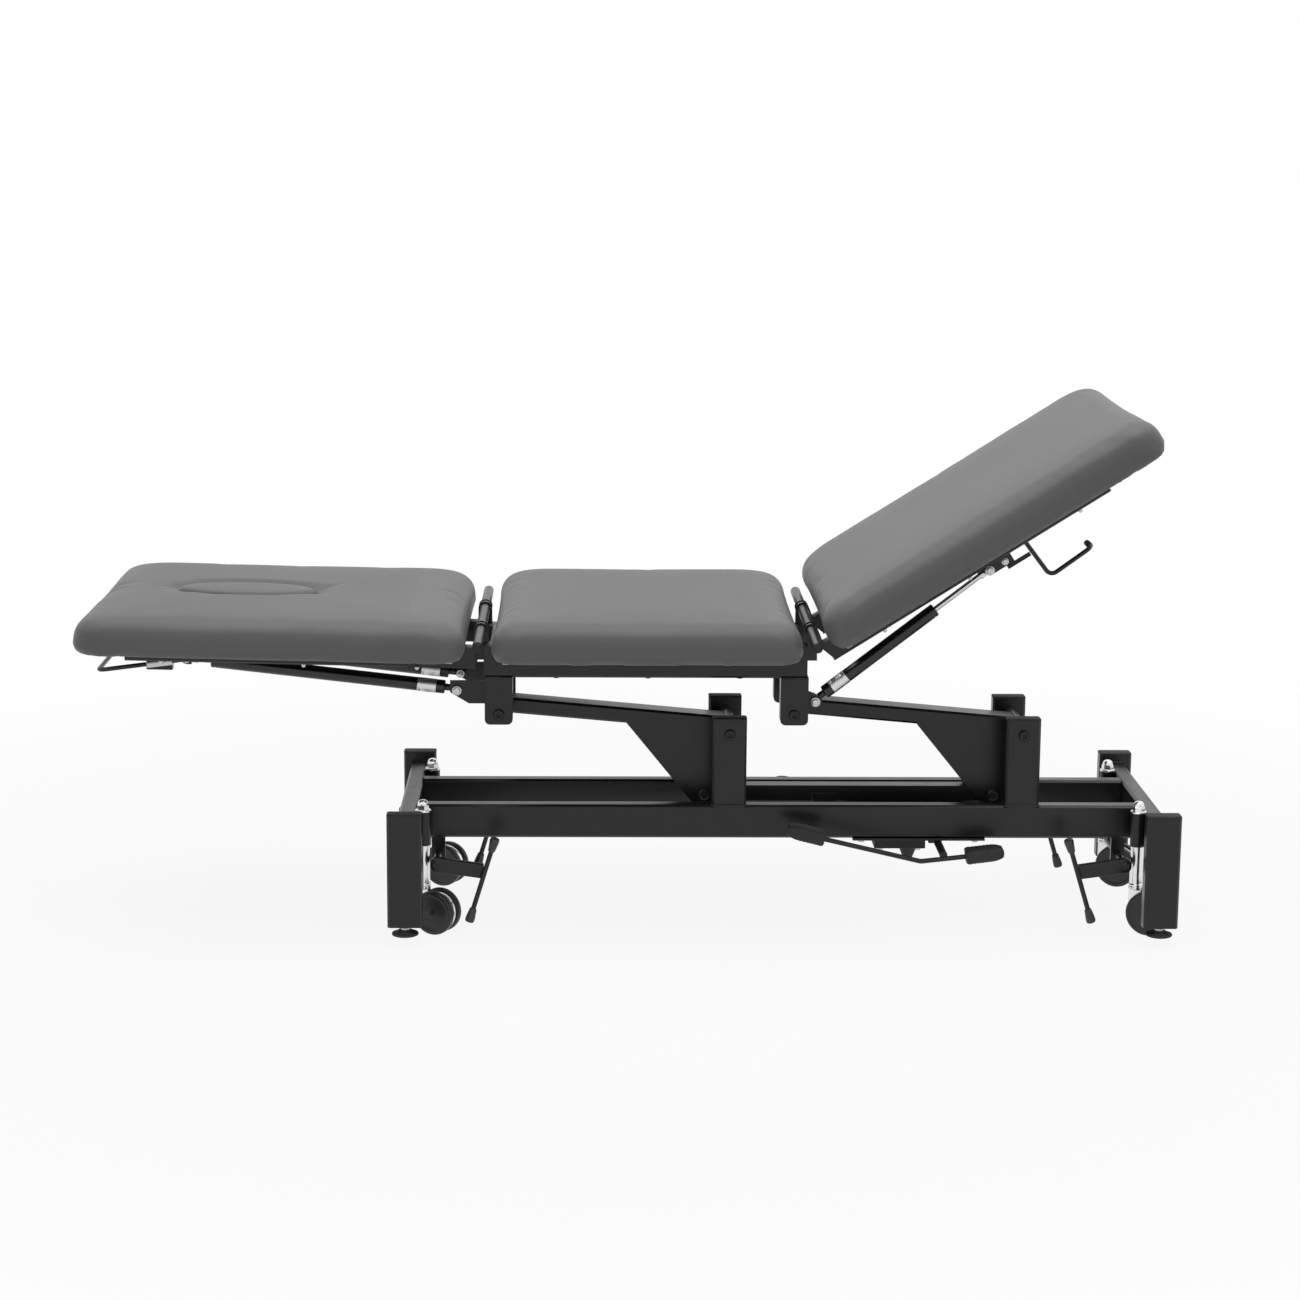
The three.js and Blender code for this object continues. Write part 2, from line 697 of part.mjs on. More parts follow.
// Pump under the rails, with the ram's foot bracket on its plate
const pumpPlateTopZ = barBottomZ - fitGap;
const pumpPlateLowZ = pumpPlateTopZ - pumpPlateThick;
function pumpUnit() {
  const plate = box([pumpPlateFromX, pumpPlateToX], [-railOuterY, railOuterY],
    [pumpPlateLowZ, pumpPlateTopZ]);
  const body = box([pumpBodyFromX, pumpBodyToX], [-pumpBodyHalfY, pumpBodyHalfY],
    [pumpPlateLowZ - pumpBodyTall, pumpPlateLowZ + pumpPlateThick / 2]);
  const noseTop = pumpPlateLowZ - pumpBodyTall + cutOverrun;
  const nose = rodBetween([plungerX, 0, noseTop], [plungerX, 0, noseTop - plungerDrop - cutOverrun],
    plungerRadius, pinSides, plungerNoseRadius);
  const ramEars = Object.values(flanks).flatMap((flank) => {
    const y = mirrored(flank, ramEyeHalf + sideGap, ramEyeHalf + sideGap + earThick);
    const webZ = pumpPlateLowZ + sideGap;
    const web = [[ramFootX - ramEyeRadius, webZ], [ramFootX + ramEyeRadius, webZ]];
    return [eyePlate([ramFootX, ramAxisZ], ramEyeRadius, 0, web, y)];
  });
  const pinReach = ramEyeHalf + sideGap + 2 * earThick;
  const ramPin = rodY(tiePinRadius, ramFootX, ramAxisZ, [-pinReach, pinReach]);
  const shaftEars = Object.values(flanks).map((flank) => {
    const y = mirrored(flank, pumpBodyHalfY + earThick, pumpBodyHalfY + earThick + plateThick);
    const earZ = [pedalShaftZ - lugHalf, pumpPlateTopZ - pumpPlateThick / 2];
    const ear = box(about(pedalShaftX, 2 * lugHalf), y, earZ);
    return cut(ear, rodY(boreFor(pedalShaftRadius), pedalShaftX, pedalShaftZ, about(0, 4 * pumpBodyHalfY)));
  });
  return join(plate, body, nose, ...ramEars, ramPin, ...shaftEars);
}
place('pump_unit', pumpUnit(), 'casting');

function ramBarrel() {
  const front = ramFootX - ramBarrelFromFoot - ramBarrelLength;
  const back = ramFootX - ramBarrelFromFoot;
  const shell = rodBetween([back, 0, ramAxisZ], [front, 0, ramAxisZ], ramBarrelRadius, roundSides);
  const eye = rodY(ramEyeRadius, ramFootX, ramAxisZ, [-ramEyeHalf, ramEyeHalf], roundSides);
  const neckHalf = [ramEyeHalf * ramNeckShare, ramEyeRadius * ramNeckShare];
  const neck = box([back - sideGap, ramFootX], about(0, 2 * neckHalf[0]), about(ramAxisZ, 2 * neckHalf[1]));
  const bore = rodBetween([back - ramBoreEndWall, 0, ramAxisZ], [front - cutOverrun, 0, ramAxisZ],
    boreFor(ramRodRadius), pinSides);
  const pinHole = rodY(boreFor(tiePinRadius), ramFootX, ramAxisZ, about(0, 4 * ramEyeHalf));
  return cut(join(shell, neck, eye), bore, pinHole);
}

function ramRod() {
  const rod = rodBetween([ramHeadX, 0, ramAxisZ], [ramHeadX + ramRodTail, 0, ramAxisZ],
    ramRodRadius, pinSides);
  const eye = rodY(ramEyeRadius - sideGap, ramHeadX, ramAxisZ, [-ramEyeHalf, ramEyeHalf], roundSides);
  return join(rod, eye);
}
place('ram_barrel', ramBarrel(), 'casting');
place('ram_rod', ramRod(), 'chrome');

// Pump pedal: a cross shaft with a bent rod on each flank, and four grip pads
const pedalPads = {
  long: { x: pedalLongX, z: pedalLongZ },
  short: { x: pedalShortX, z: pedalShortZ },
};
for (const pad of Object.values(pedalPads)) {
  pad.run = new THREE.Vector2(pad.x - pedalBendX, pad.z - pedalBendZ).normalize();
  pad.inner = [pad.x - pad.run.x * padLength / 2, pad.z - pad.run.y * padLength / 2];
  pad.tip = [pad.inner[0] + pad.run.x * padGrip * 2, pad.inner[1] + pad.run.y * padGrip * 2];
}

function pumpPedal() {
  const shaft = rodY(pedalShaftRadius, pedalShaftX, pedalShaftZ, [-pedalRodY, pedalRodY]);
  const rods = Object.values(flanks).map((flank) => {
    const y = flank * pedalRodY;
    const { long, short } = pedalPads;
    const [from, to] = [[long.tip[0], y, long.tip[1]], [short.tip[0], y, short.tip[1]]];
    return bentRod([from, [pedalBendX, y, pedalBendZ], to], pedalRodRadius);
  });
  return join(shaft, ...rods);
}

function pedalPad(pad, flank) {
  const half = padTall / 2;
  const nose = padLength * padNoseShare;
  const outline = new THREE.Shape();
  outline.moveTo(0, -half);
  outline.lineTo(padLength - nose, -half);
  outline.absellipse(padLength - nose, 0, nose, half, -Math.PI / 2, Math.PI / 2);
  outline.lineTo(0, half);
  const slab = plateXZ(outline, about(0, padWide), thinSides);
  const rodHole = rodBetween([-cutOverrun, 0, 0], [2 * padGrip + sideGap, 0, 0],
    boreFor(pedalRodRadius), pinSides);
  const group = groupAt([pad.inner[0], flank * pedalRodY, pad.inner[1]], -Math.atan2(pad.run.y, pad.run.x));
  return [cut(slab, rodHole), group];
}
place('pump_pedal', pumpPedal(), 'frame');
for (const [flankName, flank] of Object.entries(flanks)) {
  for (const [padName, pad] of Object.entries(pedalPads)) {
    const [solid, group] = pedalPad(pad, flank);
    place(`pedal_pad_${padName}_${flankName}`, solid, 'rubber', group);
  }
}

// Seat frame
const cushionBottomZ = hingeZ - cushionDrops.seat;
const memberTopZ = cushionBottomZ - fitGap;
const memberBottomZ = memberTopZ - tubeTall;
const hingeXs = { face: hingeFaceX, back: hingeBackX };
const strutPinReach = strutY - 2 * strutEyeHalf;

function anchorPin(x, z, flank, innerY) {
  const head = rodY(boltHeadRadius, x, z,
    mirrored(flank, railInnerY + anchorPlateThick, railInnerY + anchorPlateThick + boltHeadThick));
  return join(head, rodY(strutPinRadius, x, z, mirrored(flank, innerY, railInnerY + anchorPlateThick)));
}

function seatFrame() {
  const memberX = [hingeFaceX + memberEndInset, hingeBackX - memberEndInset];
  const memberZ = memberTopZ - tubeTall / 2;
  const solids = [];
  const holes = [];
  for (const flank of Object.values(flanks)) {
    const y = flank * railCentreY;
    solids.push(bar('X', [y, memberZ], memberX, tubeWide, tubeTall));
    const holeX = [memberX[0] - cutOverrun, memberX[1] + cutOverrun];
    holes.push(bar('X', [y, memberZ], holeX, hollowWide, hollowTall, tubeWall));
  }
  const rails = cut(join(...solids), ...holes);
  const parts = [];
  for (const flank of Object.values(flanks)) {
    const y = flank * railCentreY;
    for (const x of seatPivotXs) {
      const bracketTop = memberBottomZ + tubeWall / 2;
      const height = bracketTop - (seatPivotZ - bracketDrop);
      const [left, right, low] = [x - bracketWide / 2, x + bracketWide / 2, bracketTop - height];
      const outline = new THREE.Shape();
      outline.moveTo(left, bracketTop);
      outline.lineTo(left, low + bracketCorner);
      outline.absarc(left + bracketCorner, low + bracketCorner, bracketCorner, Math.PI, Math.PI * 1.5);
      outline.absarc(right - bracketCorner, low + bracketCorner, bracketCorner, Math.PI * 1.5, Math.PI * 2);
      outline.lineTo(right, bracketTop);
      const bracket = plateXZ(outline, about(y, tubeWide), bracketSteps);
      parts.push(cut(bracket, rodY(shaftHoleRadius, x, seatPivotZ, about(y, 2 * tubeWide))));
    }
    for (const x of Object.values(hingeXs)) {
      const lugY = mirrored(flank, seatLugY, seatLugY + plateThick);
      const web = [[x - hingeEyeRadius - sideGap, memberZ], [x + hingeEyeRadius + sideGap, memberZ]];
      parts.push(eyePlate([x, hingeZ], hingeEyeRadius, boreFor(hingeTubeRadius), web, lugY));
    }
    const plateY = mirrored(flank, railInnerY + sideGap, railInnerY + anchorPlateThick);
    const foot = [hingeFaceX - faceStrutFoot.along, hingeZ - faceStrutFoot.drop];
    const edge = seatPivotXs[0];
    parts.push(plateXZ([
      [edge, foot[1] + anchorRise], [foot[0] - anchorNoseReach, foot[1] + anchorRise],
      [foot[0] - anchorNoseReach, foot[1] - anchorNoseDrop],
      [foot[0] + anchorLowReach, foot[1] - anchorLowDrop], [edge, foot[1] - anchorLowDrop],
    ], plateY));
    parts.push(anchorPin(...foot, flank, strutPinReach));
  }
  const crossZ = [memberTopZ - crossMemberTall, memberTopZ];
  for (const x of [memberX[0] + crossMemberInset, memberX[1] - crossMemberInset]) {
    parts.push(box(about(x, crossMemberWide), about(0, 2 * railInnerY + tubeWall), crossZ));
  }
  const foot = [hingeBackX + backStrutFoot.along, hingeZ - backStrutFoot.drop];
  const edge = seatPivotXs[1] + shaftHoleRadius + sideGap;
  const lugY = mirrored(flanks.near, railInnerY + sideGap, railInnerY + anchorPlateThick);
  const web = [[edge, foot[1] + backAnchorRise], [edge, foot[1] - backAnchorDrop]];
  parts.push(eyePlate(foot, hingeEyeRadius, 0, web, lugY));
  parts.push(anchorPin(...foot, flanks.near, strutPinReach / 2));
  return join(rails, ...parts);
}
place('seat_frame', seatFrame(), 'frame');
seatPivotXs.forEach((x, i) => {
  place(`seat_pivot_shaft_${ends[i]}`, pivotShaft(), 'chrome', groupAt([x, 0, seatPivotZ]));
});

function hingeTube() {
  const span = about(0, hingeTubeLength);
  const bore = rodY(hingeTubeBore, 0, 0, about(0, 2 * hingeTubeLength), pinSides);
  return cut(rodY(hingeTubeRadius, 0, 0, span, roundSides), bore);
}
for (const [name, x] of Object.entries(hingeXs)) {
  place(`hinge_tube_${name}`, hingeTube(), 'frame', groupAt([x, 0, hingeZ]));
}

// Cushions: a crowned pad with eased edges and sides drawn in between its corners
const cornerSteps = 5;
const sideSteps = 6;
const cornerEase = 0.6;

// Points [x, y, share], where share runs from 0 on a long side to 1 on an end
function padOutline(length, width, inset) {
  const radius = Math.max(planCorner - inset * cornerEase, planCorner / 4);
  const [a, b] = [length / 2 - inset - radius, width / 2 - inset - radius];
  const signs = [[1, 1], [-1, 1], [-1, -1], [1, -1]];
  const points = [];
  signs.forEach(([sx, sy], quarter) => {
    for (let step = 0; step <= cornerSteps; step += 1) {
      const angle = (quarter + step / cornerSteps) * Math.PI / 2;
      const [cos, sin] = [Math.cos(angle), Math.sin(angle)];
      points.push([sx * a + radius * cos, sy * b + radius * sin, cos * cos]);
    }
    const [nextX, nextY] = signs[(quarter + 1) % signs.length];
    const onSide = quarter % 2 === 0;
    for (let step = 1; step < sideSteps; step += 1) {
      const share = step / sideSteps;
      const bow = cushionPinch * Math.sin(share * Math.PI);
      if (onSide) points.push([a * (sx + (nextX - sx) * share), sy * (b + radius - bow), 0]);
      else points.push([sx * (a + radius - bow), b * (sy + (nextY - sy) * share), 1]);
    }
  });
  return points;
}

const edgeShares = [0, 0.32, 0.6, 0.82, 1];
const crownShares = [0.22, 0.42];

function padSolid(length, thick) {
  const shoulderTop = thick - cushionCrown;
  const rings = [
    { inset: undersideInset, low: 0 },
    { inset: undersideInset / 3, low: undersideRound / 3 },
    { inset: 0, low: undersideRound },
  ];
  for (const share of edgeShares) {
    const angle = share * Math.PI / 2;
    rings.push({ turn: 1 - Math.cos(angle), below: 1 - Math.sin(angle) });
  }
  for (const share of crownShares) {
    const inset = share * (cushionWidth / 2 - sideRound.across);
    const rise = Math.sin((share / crownShares.at(-1)) * Math.PI / 2);
    rings.push({ turn: 1, inset, low: shoulderTop + cushionCrown * rise });
  }
  const outlines = rings.map(({ inset = 0, low, turn = 0, below }) => {
    const lead = turn * (endRound.across - sideRound.across);
    const outline = padOutline(length - 2 * lead, cushionWidth, inset + turn * sideRound.across);
    return outline.map(([x, y, share]) => {
      const height = sideRound.height + share * (endRound.height - sideRound.height);
      return [x, y, low ?? shoulderTop - below * height];
    });
  });
  const count = outlines[0].length;
  const vertices = [...outlines.flat(2), 0, 0, 0, 0, 0, thick];
  const faces = [];
  const [bottom, top] = [outlines.length * count, outlines.length * count + 1];
  const last = (outlines.length - 1) * count;
  for (let i = 0; i < count; i += 1) {
    const j = (i + 1) % count;
    faces.push(bottom, j, i, top, last + i, last + j);
    for (let ring = 0; ring < outlines.length - 1; ring += 1) {
      const [low, high] = [ring * count, (ring + 1) * count];
      faces.push(low + i, low + j, high + j, low + i, high + j, high + i);
    }
  }
  return toSolid(fromFaces(vertices, faces));
}

// The face hole runs through the face cushion, and a plug fills it
function ovalSolid(profile, centre = 0) {
  const half = faceHoleWidth / 2;
  const points = profile.map(([r, z]) => new THREE.Vector2(r / half, z));
  const geometry = new THREE.LatheGeometry(points, ovalSides).rotateX(Math.PI / 2);
  return toSolid(geometry.scale(faceHoleLength / 2, half, 1).translate(centre, 0, 0));
}

function facePlug() {
  const edge = faceHoleWidth / 2 - plugGap;
  const top = cushionThicks.face + plugProud;
  return ovalSolid([
    [0, 0], [edge - plugRound, 0], [edge, plugRound], [edge, top - plugRound],
    [edge - plugRound / 3, top - plugRound / 3], [edge - plugRound, top], [0, top],
  ]);
}

function faceHole(centre) {
  const half = faceHoleWidth / 2;
  const [low, high] = [-cutOverrun, cushionThicks.face + cutOverrun];
  return ovalSolid([[0, low], [half, low], [half, high], [0, high]], centre);
}

// End sections, drawn with their hinge axis at the origin
const frameTops = { face: -cushionDrops.face - fitGap, back: -cushionDrops.back - fitGap };
const crossTall = sectionTubeTall / 2;

function sectionFrame(name, length) {
  const side = sides[name];
  const [top, low] = [frameTops[name], frameTops[name] - sectionTubeTall];
  const pieces = [];
  for (const flank of Object.values(flanks)) {
    const centre = [flank * (sectionTubeInnerY + sectionTubeWide / 2), (top + low) / 2];
    const outside = bar('X', centre, mirrored(side, sectionTubeStart, length),
      sectionTubeWide, sectionTubeTall, tubeWall);
    const inside = bar('X', centre, mirrored(side, sectionTubeStart - cutOverrun, length + cutOverrun),
      sectionTubeWide - 2 * tubeWall, sectionTubeTall - 2 * tubeWall, tubeWall / 2);
    pieces.push(cut(outside, inside));
    const lugY = mirrored(flank, sectionTubeInnerY + sideGap, sectionTubeInnerY + plateThick);
    const [inner, outer] = [side * sectionTubeStart, side * (sectionTubeStart + sectionTubeTall)];
    const [lugTop, lugLow] = [top - sideGap, low + tubeCorner];
    const web = [[inner, lugTop], [outer, lugTop], [outer, lugLow], [inner, lugLow]];
    if (side > 0) web.reverse();
    pieces.push(eyePlate([0, 0], hingeEyeRadius, boreFor(hingeTubeRadius), web, lugY));
  }
  return pieces;
}

function crossBarAt(name, from, to, tall = crossTall) {
  const y = about(0, 2 * sectionTubeInnerY + tubeWall);
  return box(mirrored(sides[name], from, to), y, [frameTops[name] - tall, frameTops[name]]);
}

// Twin ears down from a cross bar, one each side of a strut or handle eye
function eyeEars(name, head, y, barFrom, barTo) {
  const top = frameTops[name] - crossTall + tubeWall;
  const low = head[1] - strutEyeRadius;
  return Object.values(flanks).flatMap((flank) => {
    const earY = about(y + flank * (strutEyeHalf + sideGap + strutEarThick / 2), strutEarThick);
    const outline = [[head[0] - strutEyeRadius, head[1]], [head[0], low], [barTo, low], [barTo, top],
      [barFrom, top]];
    return [plateXZ(outline, earY), rodY(strutEyeRadius, ...head, earY)];
  });
}

function faceFrame() {
  const side = sides.face;
  const pieces = sectionFrame('face', faceFrameLength);
  const crossFrom = sectionTubeStart + sectionCrossWide;
  const endFrom = faceFrameLength - 2 * sectionCrossWide;
  pieces.push(crossBarAt('face', crossFrom, crossFrom + sectionCrossWide));
  pieces.push(crossBarAt('face', endFrom, endFrom + sectionCrossWide, sectionTubeTall));
  pieces.push(crossBarAt('face', ...about(faceStrutHead.along, sectionCrossWide)));
  const head = [side * faceStrutHead.along, -faceStrutHead.drop];
  const slope = Math.atan2(loopOuter.drop - loopInner.drop, loopOuter.along - loopInner.along);
  const sleeveCentre = faceFrameLength - sleeveInset;
  const sleeveDrop = loopInner.drop + (sleeveCentre - loopInner.along) * Math.tan(slope);
  const sleeveZ = [-sleeveDrop - sleeveTall / 2, frameTops.face - sectionTubeTall + tubeWall];
  for (const flank of Object.values(flanks)) {
    pieces.push(...eyeEars('face', head, flank * strutY, ...about(head[0], 2 * strutEyeRadius)));
    const y = flank * loopY;
    const block = box(about(side * sleeveCentre, sleeveLength), about(y, sleeveWide), sleeveZ);
    const hole = rodBetween([side * loopInner.along, y, -loopInner.drop],
      [side * loopOuter.along, y, -loopOuter.drop], boreFor(handleRadius), pinSides);
    pieces.push(cut(block, hole));
  }
  return join(...pieces);
}

function backFrame() {
  const pieces = sectionFrame('back', backFrameLength);
  const crossFrom = sectionTubeStart + sectionCrossWide;
  pieces.push(crossBarAt('back', crossFrom, crossFrom + sectionCrossWide));
  pieces.push(crossBarAt('back', backFrameLength - sectionCrossWide, backFrameLength));
  const head = [backStrutHead.along, -backStrutHead.drop];
  const anchorTo = backStrutHead.along + strutAnchorReach;
  pieces.push(crossBarAt('back', backStrutHead.along, anchorTo));
  pieces.push(...eyeEars('back', head, -strutY, head[0], anchorTo));
  const pivot = [handlePivot.along, -handlePivot.drop];
  pieces.push(crossBarAt('back', ...about(handlePivot.along, sectionTubeWide)));
  pieces.push(...eyeEars('back', pivot, -strutY, ...about(pivot[0], 2 * strutEyeRadius)));
  const outward = -strutY - strutEyeHalf - sideGap - strutEarThick;
  pieces.push(rodY(boltHeadRadius, ...head, [outward - boltHeadThick, outward + sideGap]));
  const pinSpan = 2 * (strutEyeHalf + 2 * sideGap + strutEarThick);
  pieces.push(rodY(handleRadius, ...pivot, about(-strutY, pinSpan)));
  return join(...pieces);
}

const sections = {};
for (const [name, side] of Object.entries(sides)) {
  sections[name] = groupAt([hingeXs[name], 0, hingeZ], -side * sectionTilts[name]);
}
place('face_frame', faceFrame(), 'frame', sections.face);
place('back_frame', backFrame(), 'frame', sections.back);

const endCushionCentre = (name, length) => sides[name] * (cushionEndGaps[name] + length / 2);
const faceCushionX = endCushionCentre('face', faceCushionLength);
const facePad = padSolid(faceCushionLength, cushionThicks.face);
place('face_cushion', cut(facePad, faceHole(-faceHoleCentre - faceCushionX)), 'upholstery',
  groupAt([faceCushionX, 0, -cushionDrops.face], 0, sections.face));
place('face_plug', facePlug(), 'upholstery',
  groupAt([-faceHoleCentre, 0, -cushionDrops.face], 0, sections.face));
place('back_cushion', padSolid(backCushionLength, cushionThicks.back), 'upholstery',
  groupAt([endCushionCentre('back', backCushionLength), 0, -cushionDrops.back], 0, sections.back));
const seatCushionLength = hingeBackX - hingeFaceX - 2 * cushionEndGaps.seat;
place('seat_cushion', padSolid(seatCushionLength, cushionThicks.seat), 'upholstery',
  groupAt([(hingeFaceX + hingeBackX) / 2, 0, cushionBottomZ]));

// Gas struts, each a barrel hinged on the seat frame and a rod that slides in it
function strutPair(name, side, tilt, foot, head, barrelLength, tail, y) {
  const hinge = [hingeXs[side < 0 ? 'face' : 'back'], hingeZ];
  const from = [hinge[0] + side * foot.along, hinge[1] - foot.drop];
  const [cos, sin] = [Math.cos(tilt), Math.sin(tilt)];
  const headAt = [head.along * cos + head.drop * sin, head.along * sin - head.drop * cos];
  const to = [hinge[0] + side * headAt[0], hinge[1] + headAt[1]];
  const length = Math.hypot(to[0] - from[0], to[1] - from[1]);
  const angle = Math.atan2(to[1] - from[1], Math.abs(to[0] - from[0]));
  const group = groupAt([from[0], y, from[1]], -side * angle);
  const eyeY = [-strutEyeHalf, strutEyeHalf];
  const along = (distance) => [side * distance, 0, 0];
  const shell = join(
    rodY(strutEyeRadius, 0, 0, eyeY),
    rodBetween(along(0), along(strutNeckLength), strutNeckRadius),
    rodBetween(along(strutNeckLength - sideGap), along(barrelLength), strutBarrelRadius, roundSides),
  );
  const tailAt = barrelLength - tail;
  const bore = rodBetween(along(strutNeckLength + strutBarrelRadius), along(barrelLength + cutOverrun),
    boreFor(strutRodRadius), pinSides);
  const pinHole = rodY(boreFor(strutPinRadius), 0, 0, [-strutY, strutY]);
  place(`strut_barrel_${name}`, cut(shell, bore, pinHole), 'strut', group);
  const rod = join(rodBetween(along(tailAt), along(length), strutRodRadius, pinSides),
    rodBetween(along(length - strutHeadLength), along(length), strutHeadRadius, pinSides),
    rodY(strutEyeRadius, side * length, 0, eyeY));
  place(`strut_rod_${name}`, rod, 'chrome', group);
}
for (const [flankName, flank] of Object.entries(flanks)) {
  strutPair(`face_${flankName}`, sides.face, sectionTilts.face, faceStrutFoot, faceStrutHead,
    faceStrutBarrel, faceStrutTail, flank * strutY);
}
strutPair('back', sides.back, sectionTilts.back, backStrutFoot, backStrutHead,
  backStrutBarrel, backStrutTail, -strutY);

// Release handles
function faceHandle() {
  const { face } = sides;
  const corner = (point, y) => [face * point.along, y, -point.drop];
  const points = [[loopInner, -loopY], [loopOuter, -loopY], [loopOuter, loopY], [loopInner, loopY]];
  return bentRod(points.map(([point, y]) => corner(point, y)), handleRadius);
}

function backHandle() {
  const corner = (point, y) => [point.along, y, -point.drop];
  const rod = bentRod([
    corner(handlePivot, -strutY), corner(handleElbow, -strutY), corner(handleTip, -strutY),
    corner(handleTip, -strutY + handleTurnIn),
  ], handleRadius);
  const eye = rodY(strutEyeRadius - sideGap, handlePivot.along, -handlePivot.drop,
    about(-strutY, 2 * (strutEyeHalf - sideGap)));
  const holeY = about(-strutY, 4 * strutEyeHalf);
  const hole = rodY(boreFor(handleRadius), handlePivot.along, -handlePivot.drop, holeY);
  return cut(join(rod, eye), hole);
}

function releaseLink() {
  const linkDrop = backStrutHead.drop + linkSag;
  const lean = (linkDrop - handlePivot.drop) / (handleElbow.drop - handlePivot.drop);
  const rodAt = handlePivot.along + lean * (handleElbow.along - handlePivot.along);
  const linkX = [backStrutHead.along + linkFromStrut, rodAt - handleRadius - sideGap];
  return box(linkX, about(-strutY, linkThick), about(-linkDrop, linkTall));
}
place('face_release_loop', faceHandle(), 'frame', sections.face);
place('back_release_handle', backHandle(), 'frame', sections.back);
place('back_release_link', releaseLink(), 'frame', sections.back);

// Centre the table over its own reach, on the floor
table.updateMatrixWorld(true);
const reach = new THREE.Box3().setFromObject(table, true);
const middle = reach.getCenter(new THREE.Vector3());
table.position.set(-middle.x, -middle.y, -reach.min.z);
table.updateMatrixWorld(true);

export default table;
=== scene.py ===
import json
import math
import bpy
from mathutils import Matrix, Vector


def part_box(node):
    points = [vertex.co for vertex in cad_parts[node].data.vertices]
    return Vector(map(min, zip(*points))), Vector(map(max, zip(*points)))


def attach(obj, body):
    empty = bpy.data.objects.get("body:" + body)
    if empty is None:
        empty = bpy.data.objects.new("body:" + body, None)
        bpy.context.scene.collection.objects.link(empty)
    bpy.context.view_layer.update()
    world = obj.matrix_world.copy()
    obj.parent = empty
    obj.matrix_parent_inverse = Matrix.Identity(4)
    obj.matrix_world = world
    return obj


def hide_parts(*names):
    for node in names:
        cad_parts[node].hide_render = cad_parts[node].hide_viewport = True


bl_info = {
    "name": "Treatment table",
    "version": (1, 0, 0),
    "blender": (4, 5, 0),
    "location": "3D View > Sidebar > Table",
    "description": "Dresses the packed treatment table: upholstery, coated tubes, casters, struts and pump",
    "category": "Object",
}

import bmesh
import bpy
from bpy.props import FloatProperty, FloatVectorProperty, IntProperty, PointerProperty
from mathutils import Matrix, Vector, noise

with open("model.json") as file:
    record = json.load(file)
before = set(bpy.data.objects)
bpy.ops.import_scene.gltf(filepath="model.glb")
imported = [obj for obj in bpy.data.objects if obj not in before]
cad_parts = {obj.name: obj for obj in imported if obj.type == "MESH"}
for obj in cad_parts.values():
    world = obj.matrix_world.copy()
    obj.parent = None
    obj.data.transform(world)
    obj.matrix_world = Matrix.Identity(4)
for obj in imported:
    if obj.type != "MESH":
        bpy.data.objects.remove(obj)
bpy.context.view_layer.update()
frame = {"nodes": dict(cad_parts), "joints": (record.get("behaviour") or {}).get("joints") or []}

ENDS = {"face": -1, "back": 1}
FLANKS = {"near": -1, "far": 1}
CORNERS = [(end, flank) for end in ENDS for flank in FLANKS]
AXIS_X, AXIS_Y, AXIS_Z = Vector((1, 0, 0)), Vector((0, 1, 0)), Vector((0, 0, 1))
JOINTS = {joint["name"]: joint for joint in frame["joints"]}

# The sections' rest tilts, each cushion's underside below the hinge axis, and its ends along its own length
TILTS = {"face": math.radians(1.2), "back": math.radians(32.4)}
DROPS = {"face": 0.027, "seat": 0.027, "back": 0.0246}
SPANS = {"face": (0.0136, 0.6916), "seat": (0.0136, 0.5614), "back": (0.014, 0.686)}
CUSHION_HALF = 0.32
BOARD_GAP = 0.0004
FRAME_LENGTHS = {"face": 0.614, "back": 0.566}
STRUTS = ("face_near", "face_far", "back")

# Middle lines across the table of the base and seat tubes, and of the sections' side tubes
RAIL_Y, SECTION_Y = 0.095, 0.123
WELD = 1e-6

# Filled by prepare: materials, node trees and pattern parts, each by a short key
FINISHES, TREES, PARTS = {}, {}, {}


def middle(node):
    low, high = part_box(node)
    return (low + high) / 2


def pivot(joint):
    return Vector(JOINTS[joint]["pos_m"])


def slide_axis(joint):
    return Vector(JOINTS[joint]["axis"]).normalized()


def furthest(node, origin, way):
    """How far a CAD node reaches from an origin along a direction."""
    return max((vertex.co - origin).dot(way) for vertex in frame["nodes"][node].data.vertices)


def body_of(section):
    return "seat" if section == "seat" else f"{section}_section"


def section_frame(section):
    """Origin, along and up directions of a cushion's own flat underside."""
    if section == "seat":
        return pivot("face_tilt"), AXIS_X, AXIS_Z
    tilt, side = TILTS[section], ENDS[section]
    along = Vector((side * math.cos(tilt), 0, math.sin(tilt)))
    return pivot(f"{section}_tilt"), along, Vector((-side * math.sin(tilt), 0, math.cos(tilt)))


def on_section(section, along_m, drop_m, y=0.0):
    """A point that far out from the hinge, below it and across."""
    origin, along, up = section_frame(section)
    return origin + along * along_m - up * drop_m + AXIS_Y * y


# Sizes and colours that a user would change
class UpholsterySettings(bpy.types.PropertyGroup):
    colour: FloatVectorProperty(name="Cover colour", description="Colour of the coated cover",
                                subtype="COLOR", size=3, min=0, max=1, default=(0.165, 0.165, 0.168))
    grain: FloatProperty(name="Grain", description="Width of one pebble of the cover's grain",
                         subtype="DISTANCE", unit="LENGTH", default=0.0011, min=0.0003, max=0.004)
    voxel: FloatProperty(name="Voxel", description="Mesh size that the pads are swollen at",
                         subtype="DISTANCE", unit="LENGTH", default=0.0066, min=0.004, max=0.012)
    swell: FloatProperty(name="Swell", description="Furthest that a point of a pad may move as it swells",
                         subtype="DISTANCE", unit="LENGTH", default=0.007, min=0.001, max=0.02)
    pressure: FloatProperty(name="Pressure", description="Air pressure that swells a pad", default=4.0, min=0, max=20)


